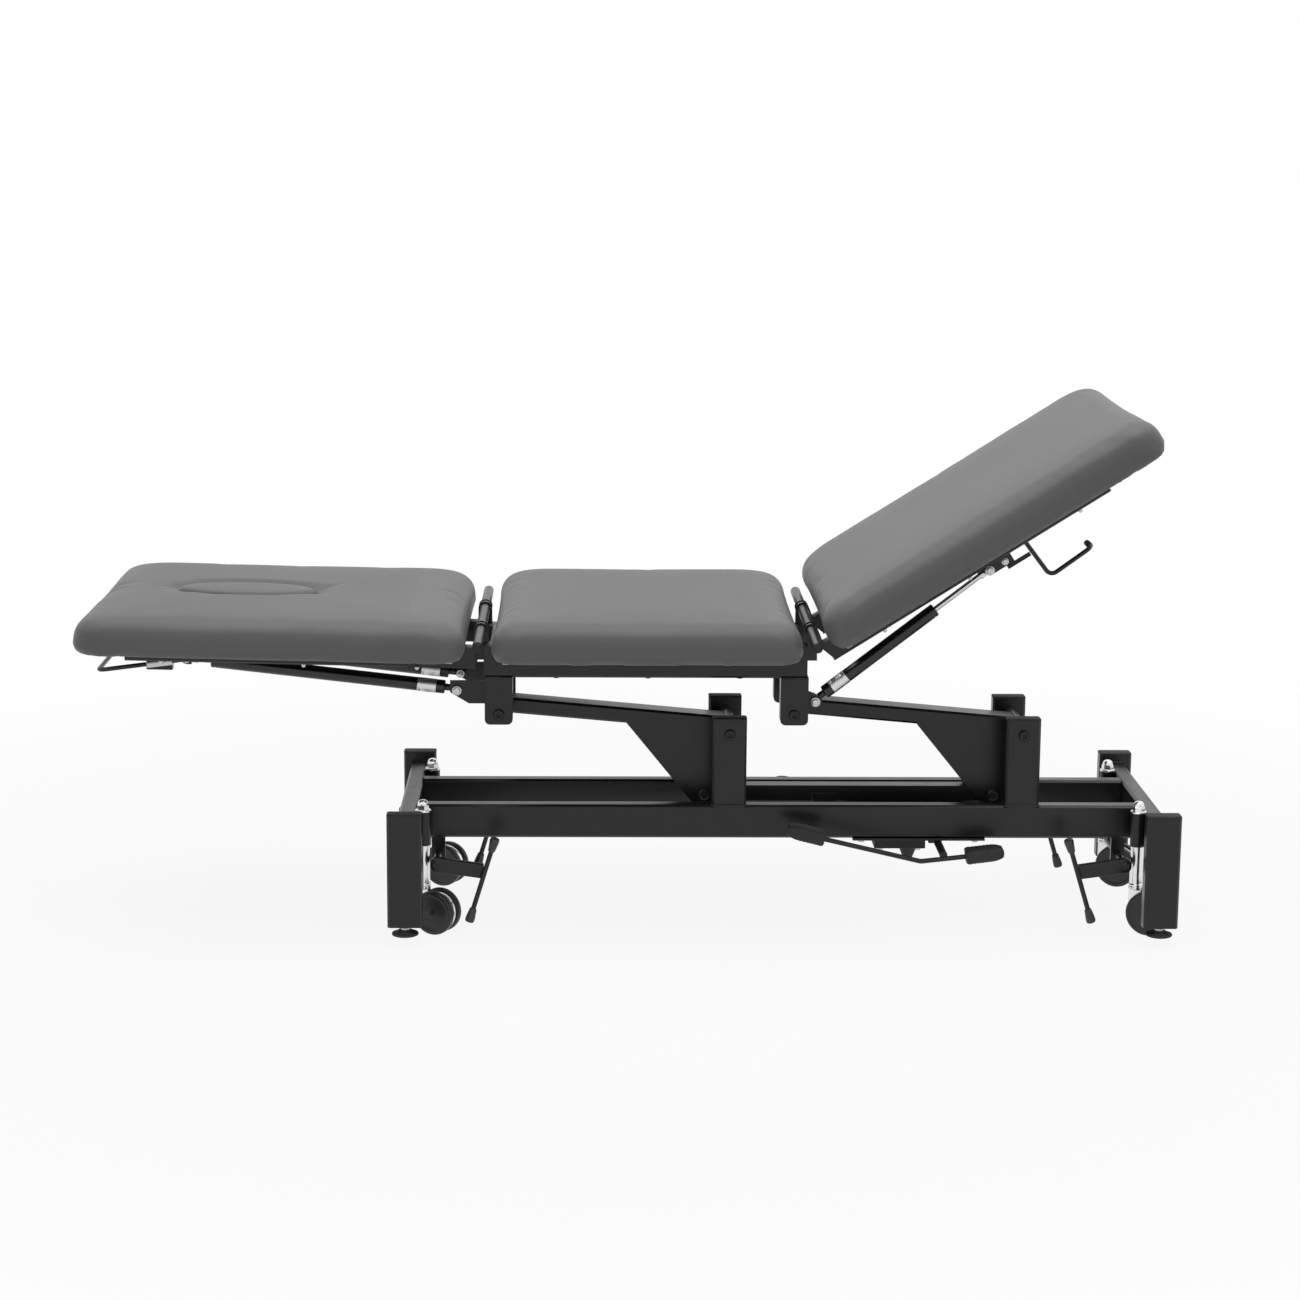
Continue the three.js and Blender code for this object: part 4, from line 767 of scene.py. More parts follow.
class TABLE_OT_base(bpy.types.Operator):
    """Makes the base rails, end frames and levelling feet"""

    bl_idname = "table.base"
    bl_label = "Base"

    def execute(self, context):
        easing = context.scene.table_metal.easing
        for flank in FLANKS:
            eased_copy(f"base_rail_{flank}", f"rail_tube_{flank}", "base", easing)
        for end in ENDS:
            eased_copy(f"end_frame_{end}", f"end_tube_{end}", "base", easing)
        for end, flank in CORNERS:
            self.foot(f"{end}_{flank}")
        self.leg_screws()
        self.welds()
        self.caps()
        return {"FINISHED"}

    def foot(self, corner):
        """Rubber foot, nut and threaded stud."""
        node, body = f"levelling_foot_{corner}", f"foot_{corner}"
        low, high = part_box(node)
        origin = middle(node)
        origin.z = low.z
        turned(f"foot_pad_{corner}", "rubber", body, node, [
            ([(0, 0), (0.021, 0), (0.0228, 0.0008), (0.0234, 0.0024), (0.0226, 0.0042), (0.0196, 0.0052),
              (0.0135, 0.0068), (0.0115, 0.0086), (0.0112, 0.0098), (0, 0.0098)], AXIS_Z, origin, 56)])
        nut_top, pitch = 0.0137, 0.0015
        nut = [(0, 0.0098), (0.0088, 0.0098), (0.0088, 0.0132), (0.0078, nut_top), (0, nut_top)]
        stud, height = [(0, nut_top)], nut_top
        while height < high.z - low.z - pitch:
            stud += [(0.0049, height), (0.0043, height + 0.0007)]
            height += pitch
        stud.append((0, height))
        turned(f"foot_stud_{corner}", "zinc", body, None, [(nut, AXIS_Z, origin, 6), (stud, AXIS_Z, origin, 20)])

    def leg_screws(self):
        low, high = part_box("base_rail_near")
        outer = {"face": low.x - 0.0303, "back": high.x + 0.0303}
        spots = [(Vector((outer[end], FLANKS[flank] * RAIL_Y, z)), AXIS_X * ENDS[end], 0.0062)
                 for end, flank in CORNERS for z in (0.171, 0.201)]
        fasteners("rail_screws", "socket_bolt", "zinc_dark", "base", spots)

    def welds(self):
        """Beads where the posts stand on the rails and where the legs meet the cross bars."""
        loop = [(-1, -1), (1, -1), (1, 1), (-1, 1), (-1, -1)]
        loops = [[spot + Vector((x * 0.0302, y * 0.0152, 0)) for x, y in loop] for spot in post_spots(0.2163)]
        for end, flank in CORNERS:
            x, y = leg_x(end), FLANKS[flank] * 0.2258
            loops.append([Vector((x + 0.0152 * side, y, z))
                          for side, z in ((-1, 0.158), (-1, 0.2162), (1, 0.2162), (1, 0.158))])
        weld_bead("base_welds", loops, "base")

    def caps(self):
        """Black plastic caps pressed on the tops of the posts and legs."""
        spots = post_spots(0.37) + [Vector((leg_x(end), FLANKS[flank] * 0.241, 0.231)) for end, flank in CORNERS]
        layers = ((0.0037, 0.0), (0.0044, 0.0003), (0.0044, 0.0014), (0.003, 0.0024), (0.0004, 0.0029))
        form = bmesh.new()
        for spot in spots:
            rings = []
            for reach, height in layers:
                ring = []
                for side_x, side_y in ((1, 1), (-1, 1), (-1, -1), (1, -1)):
                    for step in range(5):
                        angle = math.atan2(side_y, side_x) - math.pi / 4 + step * math.pi / 8
                        x, y = side_x * 0.0258 + reach * math.cos(angle), side_y * 0.0108 + reach * math.sin(angle)
                        ring.append(form.verts.new(spot + Vector((x, y, height))))
                rings.append(ring)
            capped_rings(form, rings)
        made("tube_caps", form, "rubber", "base", limit=40)


class TABLE_OT_casters(bpy.types.Operator):
    """Makes the caster caps, stems, hoods and wheels"""

    bl_idname = "table.casters"
    bl_label = "Casters"

    def execute(self, context):
        for end, flank in CORNERS:
            corner = f"{end}_{flank}"
            stem, spin = pivot(f"swivel_{corner}"), f"wheel_spin_{corner}"
            self.cap(corner, stem)
            self.stem(corner, stem)
            self.hood(corner, stem, pivot(spin), slide_axis(spin))
            self.wheels(corner, pivot(spin), slide_axis(spin))
        return {"FINISHED"}

    def cap(self, corner, stem):
        node = f"caster_cap_{corner}"
        origin = Vector((stem.x, stem.y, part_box(node)[0].z))
        turned(f"cap_nut_{corner}", "chrome", "base", node, [
            ([(0, 0), (0.0136, 0), (0.014, 0.0006), (0.014, 0.0022), (0.0134, 0.003), (0, 0.003)],
             AXIS_Z, origin, 48),
            ([(0, 0.003), (0.0108, 0.003), (0.0108, 0.0108), (0.0100, 0.0116), (0, 0.0116)], AXIS_Z, origin, 6),
            ([(0, 0.0116), (0.0094, 0.0116), (0.0092, 0.0146), (0.008, 0.0178), (0.0056, 0.0199),
              (0.0028, 0.0208), (0, 0.021)], AXIS_Z, origin, 40)], 30)

    def stem(self, corner, stem):
        node = f"caster_stem_{corner}"
        low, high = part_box(node)
        tall = high.z - low.z
        turned(f"stem_tube_{corner}", "chrome", f"stem_{corner}", node, [
            ([(0.0053, 0.0), (0.0122, 0.0), (0.0129, 0.0008), (0.0129, 0.0032), (0.0122, 0.004), (0.0117, 0.0042),
              (0.0112, 0.005), (0.0116, 0.006), (0.0116, tall - 0.0015), (0.0101, tall), (0, tall),
              (0, 0.022), (0.0053, 0.022), (0.0053, 0.0)], AXIS_Z, Vector((stem.x, stem.y, low.z)), 48)], 30)

    def hood(self, corner, stem, centre, axis):
        """Chromed fender with a rolled rim, a neck, a race and the kingpin."""
        node = f"caster_hood_{corner}"
        rim, top, neck_half = 0.036, 0.0777, 0.0112
        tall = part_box(node)[1].z - top
        trail = centre - stem
        trail.z = 0
        trail.normalize()
        form = bmesh.new()
        lathe(form, mirrored([(0.0053, -0.0055), (0.0090, -0.0058), (0.011, -0.0048), (rim - 0.0034, -0.0048),
                              (rim - 0.002, -0.0058), (rim - 0.0004, -0.0056), (rim, -0.0046)], closed=True),
              axis, centre, 64)
        neck = ((-neck_half, centre.z + 0.012), (neck_half, centre.z + 0.02), (neck_half, top), (-neck_half, top))
        slab(form, [stem + trail * x + AXIS_Z * (z - stem.z) for x, z in neck], axis, -0.0055, 0.0055)
        lathe(form, [(0, 0.0), (0.0118, 0.0), (0.0129, 0.0009), (0.0129, 0.0026), (0.0119, 0.0031),
                     (0.0129, 0.0036), (0.0129, 0.0052), (0.012, 0.006), (0.005, 0.006),
                     (0.0049, tall - 0.001), (0.004, tall), (0, tall)],
              AXIS_Z, Vector((stem.x, stem.y, top)), 48)
        made(f"fender_{corner}", form, "chrome", f"swivel_{corner}", node, 30)

    def wheels(self, corner, centre, axis):
        """Two nylon wheels on one axle, with a raised tread and dished hubs, and the axle's caps."""
        body, rim = f"wheels_{corner}", centre.z
        wheel = [(0, 0.0072), (0.005, 0.0072), (rim - 0.0022, 0.0072), (rim - 0.0008, 0.0078), (rim - 0.0001, 0.0092),
                 (rim, 0.0125), (rim, 0.0155), (rim - 0.0006, 0.018), (rim - 0.002, 0.0195), (rim - 0.0036, 0.02),
                 (rim - 0.0064, 0.0199), (rim - 0.0072, 0.0193), (rim - 0.0084, 0.0189), (0.0265, 0.0187),
                 (0.0225, 0.0189), (0.014, 0.0192), (0.0092, 0.0193), (0.0085, 0.0197), (0.0066, 0.02), (0, 0.02)]
        axle = [(0, -0.0075), (0.0049, -0.0075), (0.0049, 0.0075), (0, 0.0075)]
        cap = [(0, 0.0199), (0.0046, 0.0199), (0.0046, 0.0206), (0.0038, 0.021), (0, 0.0211)]
        turned(f"wheel_pair_{corner}", "wheel", body, f"caster_wheels_{corner}",
               [(wheel, -axis, centre, 64), (wheel, axis, centre, 64), (axle, axis, centre, 24)], 28)
        turned(f"axle_cap_{corner}", "zinc_dark", body, None, [(cap, -axis, centre, 32), (cap, axis, centre, 32)], 30)


class TABLE_OT_levers(bpy.types.Operator):
    """Makes the two caster levers"""

    bl_idname = "table.levers"
    bl_label = "Caster levers"

    def execute(self, context):
        for end, side in ENDS.items():
            axle = pivot(f"caster_lever_{end}_swing")
            self.arms(end, side, axle)
            self.rods(end, side, axle, context.scene.table_metal.rod_sides)
        return {"FINISHED"}

    def arms(self, end, side, axle):
        """The cross axle and the two flat arms on it."""
        node, steps = f"caster_lever_{end}", 12
        form = bmesh.new()
        lathe(form, pin(0.006, 0.1836, 0.0008), AXIS_Y, axle, 32)
        outline = []
        for step in range(steps + 1):
            angle = math.pi / 2 + math.pi * step / steps
            outline.append(axle + Vector((side * abs(math.cos(angle)) * 0.0108, 0, math.sin(angle) * 0.0129)))
        tip = axle + Vector((-side * 0.083, 0, -0.012))
        outline += [tip - AXIS_Z * 0.0126, tip + AXIS_Z * 0.0126]
        for low, high in ((-0.182, -0.168), (0.168, 0.182)):
            slab(form, outline, AXIS_Y, low, high)
        arms = from_bmesh(f"lever_arms_{end}", form, "coat")
        ease = arms.modifiers.new("ease", "BEVEL")
        ease.width, ease.segments, ease.angle_limit = 0.0014, 2, math.radians(50)
        applied(arms)
        smooth(arms.data, 32)
        dressed(arms, node, [node])

    def rods(self, end, side, axle, sides):
        """A rod on each arm, with a glossy knob on both of its ends."""
        body = f"caster_lever_{end}"
        top = axle + Vector((-side * 0.1, 0, 0.038))
        low = axle + Vector((-side * 0.061, 0, -0.089))
        run = (top - low).normalized()
        knob = [(0, -0.013), (0.0052, -0.013), (0.0062, -0.0118), (0.007, -0.006), (0.0082, 0.003),
                (0.0085, 0.008), (0.0078, 0.0115), (0.0055, 0.013), (0, 0.0134)]
        form = bmesh.new()
        for flank, sign in FLANKS.items():
            y = AXIS_Y * sign * 0.185
            dressed(bent_rod(f"lever_rod_{end}_{flank}", [low + y, top + y], 0.0043, 0.001, sides), body)
            lathe(form, knob, run, top + y, 40)
            lathe(form, knob, -run, low + y, 40)
        made(f"lever_knobs_{end}", form, "knob", body, limit=34)


class TABLE_OT_lift(bpy.types.Operator):
    """Makes the lift arms, pivot shafts, tie bar and ram"""

    bl_idname = "table.lift"
    bl_label = "Lift"

    def execute(self, context):
        easing = context.scene.table_metal.easing
        for end in ENDS:
            arm = f"lift_arm_{end}"
            eased_copy(arm, f"arm_box_{end}", arm, easing)
            self.shaft(f"lift_pivot_shaft_{end}", "base")
            self.shaft(f"seat_pivot_shaft_{end}", "seat")
            self.welds(end)
        eased_copy("tie_bar", "tie_bar_box", "tie_bar", easing)
        self.ram()
        self.tie_bolts()
        return {"FINISHED"}

    def shaft(self, node, body):
        centre = middle(node)
        turned(f"{node}_bar", "rod", body, node,
               [(pin(0.008, 0.109, 0.0006, end_ease=0.0007), AXIS_Y, centre, 40)], 30)
        fasteners(f"{node}_bolts", "socket_bolt", "zinc_dark", body, end_spots(centre, 0.1102, 0.0098))

    def welds(self, end):
        """Beads where the box arm meets its two cross tubes."""
        low_end, high_end = middle(f"lift_pivot_shaft_{end}"), middle(f"seat_pivot_shaft_{end}")
        run = (high_end - low_end).normalized()
        up = AXIS_Y.cross(run)
        if up.z <= 0:
            up = -up
        loops = []
        for centre, way in ((low_end, run), (high_end, -run)):
            for face in (-1, 1):
                at = centre + way * 0.0034 + up * face * 0.0142
                loops.append([at - AXIS_Y * 0.0245, at + AXIS_Y * 0.0245])
        weld_bead(f"arm_welds_{end}", loops, f"lift_arm_{end}", 0.0022)

    def ram(self):
        foot, way = pivot("ram_swing"), slide_axis("ram_extend")
        form = bmesh.new()
        lathe(form, [(0.0083, 0.155), (0.0112, 0.155), (0.013, 0.1535), (0.013, 0.149), (0.0145, 0.1475),
                     (0.0145, 0.018), (0.0138, 0.0148), (0.0112, 0.014), (0, 0.014), (0, 0.022), (0.0083, 0.022),
                     (0.0083, 0.155)],
              way, foot, 56)
        lug = ((0.0, -0.0085), (0.0155, -0.0085), (0.0155, 0.0085), (0.0, 0.0085))
        slab(form, [foot + way * x + AXIS_Z * z for x, z in lug], AXIS_Y, -0.0095, 0.0095)
        lathe(form, pin(0.012, 0.013, 0.0008, 0.0063), AXIS_Y, foot, 40)
        made("ram_tube", form, "cast", "ram_barrel", "ram_barrel")
        low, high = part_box("ram_rod")
        head = foot + way * (foot.x - low.x - 0.011)
        length = high.x - head.x - 0.008
        turned("ram_piston", "rod", "ram_rod", "ram_rod", [
            ([(0, 0.0), (0.0072, 0.0), (0.008, 0.0008), (0.008, length), (0, length)], -way, head - way * 0.008, 40),
            (pin(0.011, 0.013, 0.0007), AXIS_Y, head, 40)])

    def tie_bolts(self):
        for end, joint in (("face", "lift"), ("back", "lift_back")):
            centre = pivot(joint) + pivot("tie_level") - pivot("lift")
            spots = end_spots(centre, 0.0296, 0.0098)
            fasteners(f"tie_bolts_{end}", "hex_bolt", "zinc_dark", f"lift_arm_{end}", spots)


class TABLE_OT_pump(bpy.types.Operator):
    """Makes the pump, its pedal rods and the grip pads"""

    bl_idname = "table.pump"
    bl_label = "Pump"

    def execute(self, context):
        metal = context.scene.table_metal
        eased_copy("pump_unit", "pump_casting", "base", metal.easing, "cast")
        self.pedal(metal.rod_sides)
        for length, reach, rise in (("long", -0.243, 0.039), ("short", 0.072, 0.003)):
            for flank in FLANKS:
                self.grip(f"{length}_{flank}", flank, Vector((reach, 0, rise)))
        self.pump_bolts()
        return {"FINISHED"}

    def knee(self, flank):
        """Where a pedal rod turns, below and behind the shaft's end."""
        return pivot("pump_stroke") + Vector((-0.04, FLANKS[flank] * 0.176, -0.011))

    def pedal(self, sides):
        turned("pedal_shaft", "coat", "pump_pedal", "pump_pedal",
               [(pin(0.007, 0.176, 0.0006, end_ease=0.0008), AXIS_Y, pivot("pump_stroke"), 36)])
        for flank in FLANKS:
            points = [middle(f"pedal_pad_long_{flank}"), self.knee(flank), middle(f"pedal_pad_short_{flank}")]
            dressed(bent_rod(f"pedal_rod_{flank}", points, 0.0043, 0.016, sides), "pump_pedal")

    def grip(self, place, flank, offset):
        """Ribbed rubber grip with a rounded nose, in line with its rod."""
        half, tall, wide, nose = 0.034, 0.0135, 0.02, 0.0306
        long, lengths, sides, power = 2 * half, 40, 36, 2 / 3.6
        knee = self.knee(flank)
        axle = pivot("pump_stroke")
        centre = Vector((axle.x, knee.y, axle.z)) + offset
        run = (centre - knee).normalized()
        up = run.cross(AXIS_Y)
        if up.z < 0:
            up = -up
        form = bmesh.new()
        rings = []
        for step in range(lengths + 1):
            x = 0.0006 + (long - 0.0012) * step / lengths
            past = max(0.0, x - (long - nose)) / nose
            taper = math.sqrt(max(0.0, 1 - past ** 2.2))
            rib = (step // 2) % 2 and 3 < step < lengths - 13
            lead = min(1.0, 0.86 + x / 0.004 * 0.14)
            reach_y = wide * (0.55 + 0.45 * taper) * lead
            reach_z = tall * (0.35 + 0.65 * taper) * lead * (0.965 if rib else 1)
            if step == lengths:
                reach_y, reach_z = reach_y * 0.72, reach_z * 0.6
            ring = []
            for i in range(sides):
                c, s = math.cos(math.tau * i / sides), math.sin(math.tau * i / sides)
                y, z = math.copysign(abs(c) ** power, c) * reach_y, math.copysign(abs(s) ** power, s) * reach_z
                ring.append(form.verts.new(centre + run * (x - half) + AXIS_Y * y + up * z))
            rings.append(ring)
        capped_rings(form, rings)
        made(f"pedal_grip_{place}", form, "rubber", "pump_pedal", f"pedal_pad_{place}", 40)

    def pump_bolts(self):
        """Bolts up into the rails and, lower down, in the casting's own flange."""
        low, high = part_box("pump_unit")
        plate = 0.1517
        spots = [(Vector((x, y, plate)), -AXIS_Z, 0.0075)
                 for x in (low.x + 0.016, high.x - 0.016) for y in (-RAIL_Y, RAIL_Y)]
        spots += [(Vector((low.x + x, y, plate - 0.034)), -AXIS_Z, 0.0062)
                  for x in (0.058, 0.126) for y in (-0.026, 0.026)]
        fasteners("pump_bolts", "hex_bolt", "zinc", "base", spots)


class TABLE_OT_seat_frame(bpy.types.Operator):
    """Makes the seat frame and hinge tubes"""

    bl_idname = "table.seat_frame"
    bl_label = "Seat frame"

    def execute(self, context):
        eased_copy("seat_frame", "seat_tubes", "seat", context.scene.table_metal.easing)
        for end in ENDS:
            node = f"hinge_tube_{end}"
            low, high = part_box(node)
            half = (high.y - low.y) / 2
            turned(f"hinge_bar_{end}", "coat", "seat", node,
                   [(pin(0.009, half, 0.0007, 0.0065), AXIS_Y, middle(node), 48)])
            spots = end_spots(middle(node), half - 0.0004, 0.0084)
            fasteners(f"hinge_bolts_{end}", "hex_bolt", "zinc_dark", "seat", spots)
        self.welds()
        self.board_screws()
        return {"FINISHED"}

    def welds(self):
        """Beads where the four shaft brackets meet the side members."""
        loops = []
        for end in ENDS:
            x = middle(f"seat_pivot_shaft_{end}").x
            for y in (-RAIL_Y, RAIL_Y):
                loops += [[Vector((x + run, y + side * 0.0152, 0.4449)) for run in (-0.0235, 0.0235)]
                          for side in (-1, 1)]
        weld_bead("bracket_welds", loops, "seat")

    def board_screws(self):
        low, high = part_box("seat_frame")
        spots = [(Vector((low.x + 0.06 + (high.x - low.x - 0.08) * share, y, 0.4447)), -AXIS_Z, 0.0052)
                 for y in (-RAIL_Y, RAIL_Y) for share in (0.22, 0.5, 0.78)]
        fasteners("seat_board_screws", "socket_bolt", "zinc_dark", "seat", spots)


class TABLE_OT_sections(bpy.types.Operator):
    """Makes the two tilting section frames"""

    bl_idname = "table.sections"
    bl_label = "Section frames"

    def execute(self, context):
        for section in ENDS:
            easing = context.scene.table_metal.easing
            eased_copy(f"{section}_frame", f"{section}_frame_tubes", body_of(section), easing)
            self.end_plugs(section)
            self.board_screws(section)
        return {"FINISHED"}

    def end_plugs(self, section):
        """Black plastic plugs in the open ends of the side tubes."""
        along, up = section_frame(section)[1:]
        head = ((-1, -0.92), (-0.84, -1), (0.84, -1), (1, -0.92), (1, 0.92), (0.84, 1), (-0.84, 1), (-1, 0.92))
        shank = ((-1, -1), (1, -1), (1, 1), (-1, 1))
        form = bmesh.new()
        for flank in (-1, 1):
            centre = on_section(section, FRAME_LENGTHS[section], DROPS[section] + 0.0203, flank * SECTION_Y)
            for outline, wide, tall, low, high in ((head, 0.0098, 0.0197, 0.0002, 0.0022),
                                                   (shank, 0.0072, 0.0172, -0.012, 0.0002)):
                slab(form, [centre + AXIS_Y * y * wide + up * z * tall for y, z in outline], along, low, high)
        made(f"{section}_tube_plugs", form, "rubber", body_of(section), weld=1e-7)

    def board_screws(self, section):
        up, length = section_frame(section)[2], FRAME_LENGTHS[section]
        spots = [(on_section(section, s, DROPS[section] + 0.0403, flank * SECTION_Y), -up, 0.005)
                 for flank in (-1, 1) for s in (0.11, length * 0.5, length - 0.06)]
        fasteners(f"{section}_board_screws", "dome_nut", "zinc", body_of(section), spots)


class TABLE_OT_struts(bpy.types.Operator):
    """Makes the three gas struts"""

    bl_idname = "table.struts"
    bl_label = "Gas struts"

    def execute(self, context):
        for name in STRUTS:
            self.strut(name)
        return {"FINISHED"}

    def strut(self, name):
        """Barrel with its foot eye, bright band, and rod with its head eye."""
        barrel, rod = f"strut_barrel_{name}", f"strut_rod_{name}"
        foot, way = pivot(f"strut_swing_{name}"), slide_axis(f"strut_extend_{name}")
        end, length = furthest(barrel, foot, way), furthest(rod, foot, way) - 0.009
        start = end - (0.096 if name == "back" else 0.1)
        turned(f"strut_tube_{name}", "strut", barrel, barrel, [
            ([(0.0053, end), (0.0098, end), (0.0114, end - 0.0008), (0.012, end - 0.0024), (0.012, end - 0.006),
              (0.0114, end - 0.0074), (0.012, end - 0.0088), (0.012, 0.0712), (0.0116, 0.0706), (0.0116, 0.0372),
              (0.012, 0.0366), (0.012, 0.0228), (0.0112, 0.0216), (0.0066, 0.021), (0.006, 0.02), (0.006, 0.008),
              (0, 0.008), (0, 0.034), (0.0053, 0.034), (0.0053, end)], way, foot, 48),
            (pin(0.009, 0.007, 0.0007, 0.0053), AXIS_Y, foot, 36)], 30)
        turned(f"strut_band_{name}", "label", barrel, None, [
            ([(0.0117, 0.0), (0.0119, -0.0001), (0.0123, 0.0004), (0.0123, 0.0056), (0.0121, 0.0062),
              (0.0123, 0.0068), (0.0123, 0.0262), (0.0121, 0.0268), (0.0123, 0.0274), (0.0123, 0.0326),
              (0.0119, 0.0331), (0.0117, 0.033), (0.0117, 0.0)], way, foot + way * 0.0374, 48)], 30)
        turned(f"strut_shank_{name}", "rod", rod, rod, [
            ([(0, start), (0.0042, start), (0.005, start + 0.001), (0.005, length - 0.02), (0.0068, length - 0.0196),
              (0.0075, length - 0.0186), (0.0075, length - 0.009), (0.0064, length - 0.006), (0, length - 0.005)],
             way, foot, 36),
            (pin(0.009, 0.007, 0.0007), AXIS_Y, foot + way * length, 36)], 30)


class TABLE_OT_releases(bpy.types.Operator):
    """Makes the release loop, handle and link"""

    bl_idname = "table.releases"
    bl_label = "Releases"

    def execute(self, context):
        sides = context.scene.table_metal.rod_sides
        self.loop(sides)
        self.handle(sides)
        eased_copy("back_release_link", "link_flat", "back_release_link", 0.0008, "zinc_dark")
        return {"FINISHED"}

    def loop(self, sides):
        """The bent release rod under the face section and the two bushes that it slides in."""
        node, inner, outer, half, bush_at = "face_release_loop", (0.43, 0.057), (0.668, 0.093), 0.095, 0.56
        points = [on_section("face", *place, y) for place, y in
                  ((inner, -half), (outer, -half), (outer, half), (inner, half))]
        dressed(bent_rod("release_loop_rod", points, 0.004, 0.014, sides), node, [node])
        slope = (outer[1] - inner[1]) / (outer[0] - inner[0])
        along, up = section_frame("face")[1:]
        lean = (along - up * slope).normalized()
        centres = [on_section("face", bush_at, inner[1] + (bush_at - inner[0]) * slope, y) for y in (-half, half)]
        turned("loop_bushes", "zinc", "face_section", None,
               [(pin(0.0104, 0.0225, 0.0008, 0.0042), lean, centre, 36) for centre in centres])

    def handle(self, sides):
        """The cranked release handle of the back section, with its bush and rubber sleeve."""
        node, y = "back_release_handle", -0.07
        points = [on_section("back", *place) for place in
                  ((0.398, 0.06, y), (0.406, 0.151, y), (0.493, 0.145, y), (0.493, 0.145, y + 0.046))]
        dressed(bent_rod("back_handle_rod", points, 0.004, 0.013, sides), node, [node])
        sleeve = [(0.0041, -0.03), (0.0052, -0.03), (0.0056, -0.0293), (0.0056, 0.0004), (0.005, 0.0012), (0, 0.0014)]
        turned("back_handle_sleeve", "rubber", node, None, [
            (pin(0.008, 0.006, 0.0005, 0.0043, 0.0006), AXIS_Y, pivot("back_release_pull"), 32),
            (sleeve, AXIS_Y, points[-1], 28)])


class TABLE_OT_fittings(bpy.types.Operator):
    """Makes the bolts on the strut ends, brackets and lever shafts"""

    bl_idname = "table.fittings"
    bl_label = "Fittings"

    def execute(self, context):
        bolts, nuts = [], []
        for name in STRUTS:
            foot = pivot(f"strut_swing_{name}")
            side = math.copysign(1, foot.y)
            bolts.append((Vector((foot.x, side * 0.0908, foot.z)), AXIS_Y * side, 0.0082))
            if name != "back":
                nuts.append((Vector((foot.x, side * 0.0561, foot.z)), -AXIS_Y * side, 0.0068))
        handle = pivot("back_release_pull")
        back_heads = [(on_section("back", 0.32, 0.0825, -0.0879), -AXIS_Y, 0.0082),
                      (on_section("back", 0.351, 0.0835, -0.0829), -AXIS_Y, 0.0062),
                      (Vector((handle.x, -0.0832, handle.z)), -AXIS_Y, 0.0058)]
        face_heads = end_spots(on_section("face", 0.516, 0.072), 0.0829, 0.0068)
        fasteners("strut_foot_bolts", "hex_bolt", "zinc", "seat", bolts)
        fasteners("strut_foot_nuts", "dome_nut", "zinc", "seat", nuts)
        fasteners("strut_head_bolts", "hex_bolt", "zinc", "back_section", back_heads)
        fasteners("face_strut_head_bolts", "hex_bolt", "zinc", "face_section", face_heads)
        return {"FINISHED"}


